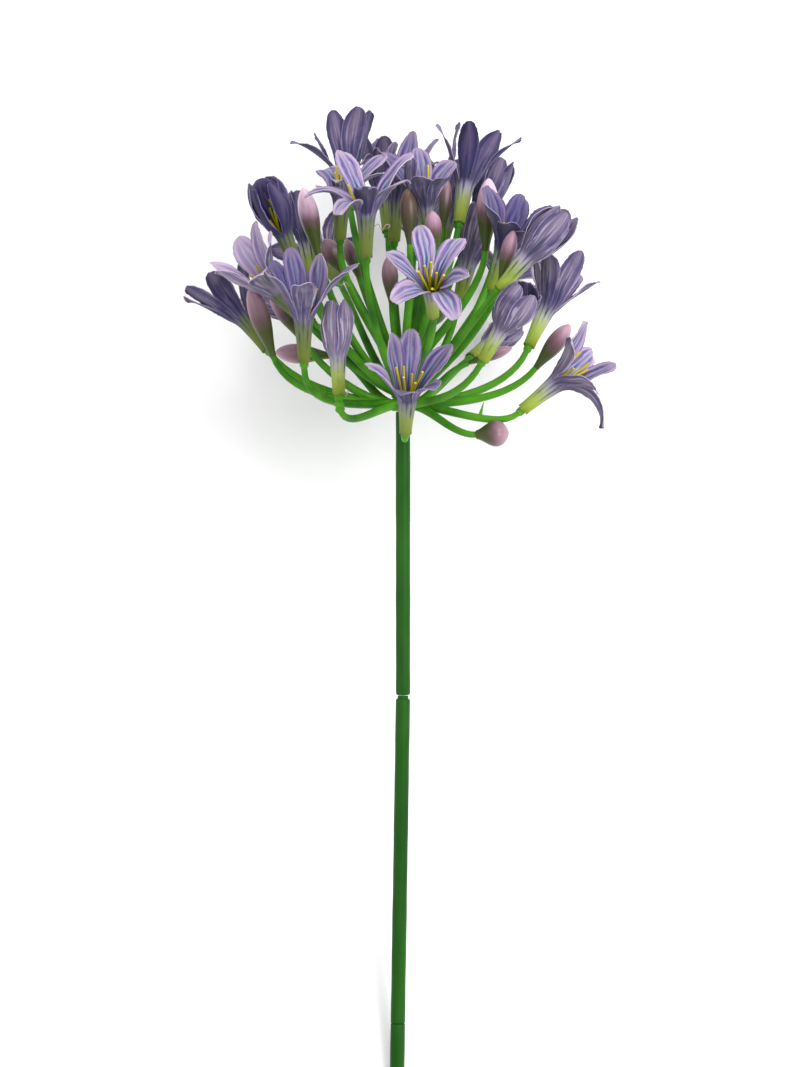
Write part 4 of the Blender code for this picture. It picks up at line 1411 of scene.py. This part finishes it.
def stamen_finish():
    finish = Finish("stamen_yellow_plastic", roughness=0.5, specular_ior_level=0.4)
    place = finish.node("ShaderNodeTexCoord").outputs["Object"]
    clouds = finish.noise(place, 300.0, 2.0)
    finish.colour(finish.mix(clouds, "a89c08", "d8cb1e"))
    finish.bump(finish.noise(place, 2500.0, 2.0), 0.08 * MM, 0.4)
    return finish.material


stamen_yellow = stamen_finish()
for floret_name in (*FLORETS_WITH_STAMENS, *MORE_STAMENS):
    make_stamens(floret_name, stamen_yellow)
print(len(FLORETS_WITH_STAMENS) + len(MORE_STAMENS), "sets of stamens")

# %% [markdown]
# ## The buds
#
# A bud is moulded in one piece: a pointed egg on a narrower neck, with three shallow furrows where its
# outer petals meet, and a high gloss. One master is grown ring by ring at unit size, furrowed, and
# mapped around and along. Each copy is scaled to its own length and thickness.

# %% The master bud
BUD_SIDES = 36
BUD_OUTLINE = (
    (0.31, -0.06), (0.35, -0.02), (0.37, 0.03), (0.45, 0.10), (0.62, 0.22), (0.82, 0.35), (0.96, 0.48), (1.0, 0.60),
    (0.95, 0.71), (0.82, 0.81), (0.62, 0.89), (0.40, 0.95), (0.20, 0.985), (0.06, 1.0),
)
BUD_FURROW = 0.07


def master_bud():
    thing = grown("master_bud", BUD_OUTLINE, BUD_SIDES)
    layer = thing.data.uv_layers.new(name="print")
    for loop in thing.data.loops:
        place = thing.data.vertices[loop.vertex_index].co
        layer.data[loop.index].uv = (math.atan2(place.y, place.x) / math.tau + 0.5, place.z)
    for vert in thing.data.vertices:
        angle = math.atan2(vert.co.y, vert.co.x)
        furrow = 1 - BUD_FURROW * math.exp(-(((angle * 3 / math.tau + 0.5) % 1 - 0.5) / 0.07) ** 2)
        depth = smooth(np.array(vert.co.z / 0.4))
        share = 1 + (furrow - 1) * float(depth)
        vert.co.x *= share
        vert.co.y *= share
    return thing


bud_master = master_bud()
print("the master bud has", len(bud_master.data.polygons), "faces")

# %% [markdown]
# ## The finish of the buds
#
# The buds run from olive green at the neck to mauve at the tip, some pinker and some browner, with
# darker furrows and cloudy dye. Each copy carries its tone as an attribute, so that one material serves
# them all. The plastic is glossy, which gives the small bright lights near the tips.

# %% Bud plastic
def bud_finish():
    finish = Finish("bud_mauve_plastic", roughness=0.4, specular_ior_level=0.35, coat_weight=0.12)
    finish.shader.inputs["Coat Roughness"].default_value = 0.2
    place = finish.node("ShaderNodeUVMap", uv_map="print").outputs[0]
    split = finish.node("ShaderNodeSeparateXYZ", {0: place})
    tone = finish.node("ShaderNodeAttribute", attribute_name="tone").outputs["Fac"]
    clouds = finish.noise(finish.stretched(place, (7.0, 2.0, 1.0)), 1.0, 3.0)
    moved = finish.sum("MULTIPLY", finish.sum("SUBTRACT", clouds, 0.5), 0.3)
    along = finish.sum("ADD", split.outputs[1], moved)
    pink_stops = (
        (0.0, "3e5410"), (0.34, "465018"), (0.5, "70505c"), (0.74, "b0869e"), (0.9, "cca2ba"), (1.0, "d0a8b0"),
    )
    pink = finish.row(along, pink_stops)
    brown = finish.row(along, ((0.0, "3a4212"), (0.3, "3a3a1c"), (0.6, "4e3e30"), (1.0, "664f44")))
    colour = finish.mix(tone, pink, brown)
    # A pale tone lightens the upper part of the bud towards pale pink: partly paler dye, partly painted light on the
    # lit tip of bud 01
    pale = finish.sum("MULTIPLY", finish.part(tone, 0.0, -1.0, 0.8), finish.fade(along, 0.45, 0.8))
    colour = finish.mix(pale, colour, "f0cce2")
    finish.colour(finish.mix(finish.sum("MULTIPLY", finish.fade(clouds, 0.55, 0.8), 0.35), colour, "4a3040"))
    finish.bump(clouds, 0.1 * MM, 0.3)
    return finish.material


def make_bud(name, finish):
    place, aim, length, thickness, _, tone = BUDS[name]
    bud = copy_of(bud_master, f"moulded_bud_{name}")
    apply_modifier(bud, "SUBSURF", levels=1, render_levels=1)
    width = thickness / 2 * MM
    size = Matrix.Diagonal((width, width, length * MM, 1.0))
    turn = dice.uniform(0, math.tau)
    bud.data.transform(LAID @ facing(place, aim, turn) @ size)
    layer = bud.data.attributes.new("tone", "FLOAT", "POINT")
    layer.data.foreach_set("value", [tone] * len(bud.data.vertices))
    hand_over(bud, finish, [f"bud_{name}"], math.radians(50))


bud_mauve = bud_finish()
for bud_name in BUDS:
    make_bud(bud_name, bud_mauve)
bpy.data.objects.remove(bud_master)
print(len(BUDS), "buds")

# %% [markdown]
# ## Counting the pieces
#
# The fine pieces must stay in the box of the plain solids, apart from a little that fabric may stand
# proud. The finished pieces and their triangles are counted here.

# %% Counting the pieces
triangles = sum(len(poly.vertices) - 2 for piece in made_pieces for poly in piece.data.polygons)
print(len(made_pieces), "pieces with", triangles, "triangles")
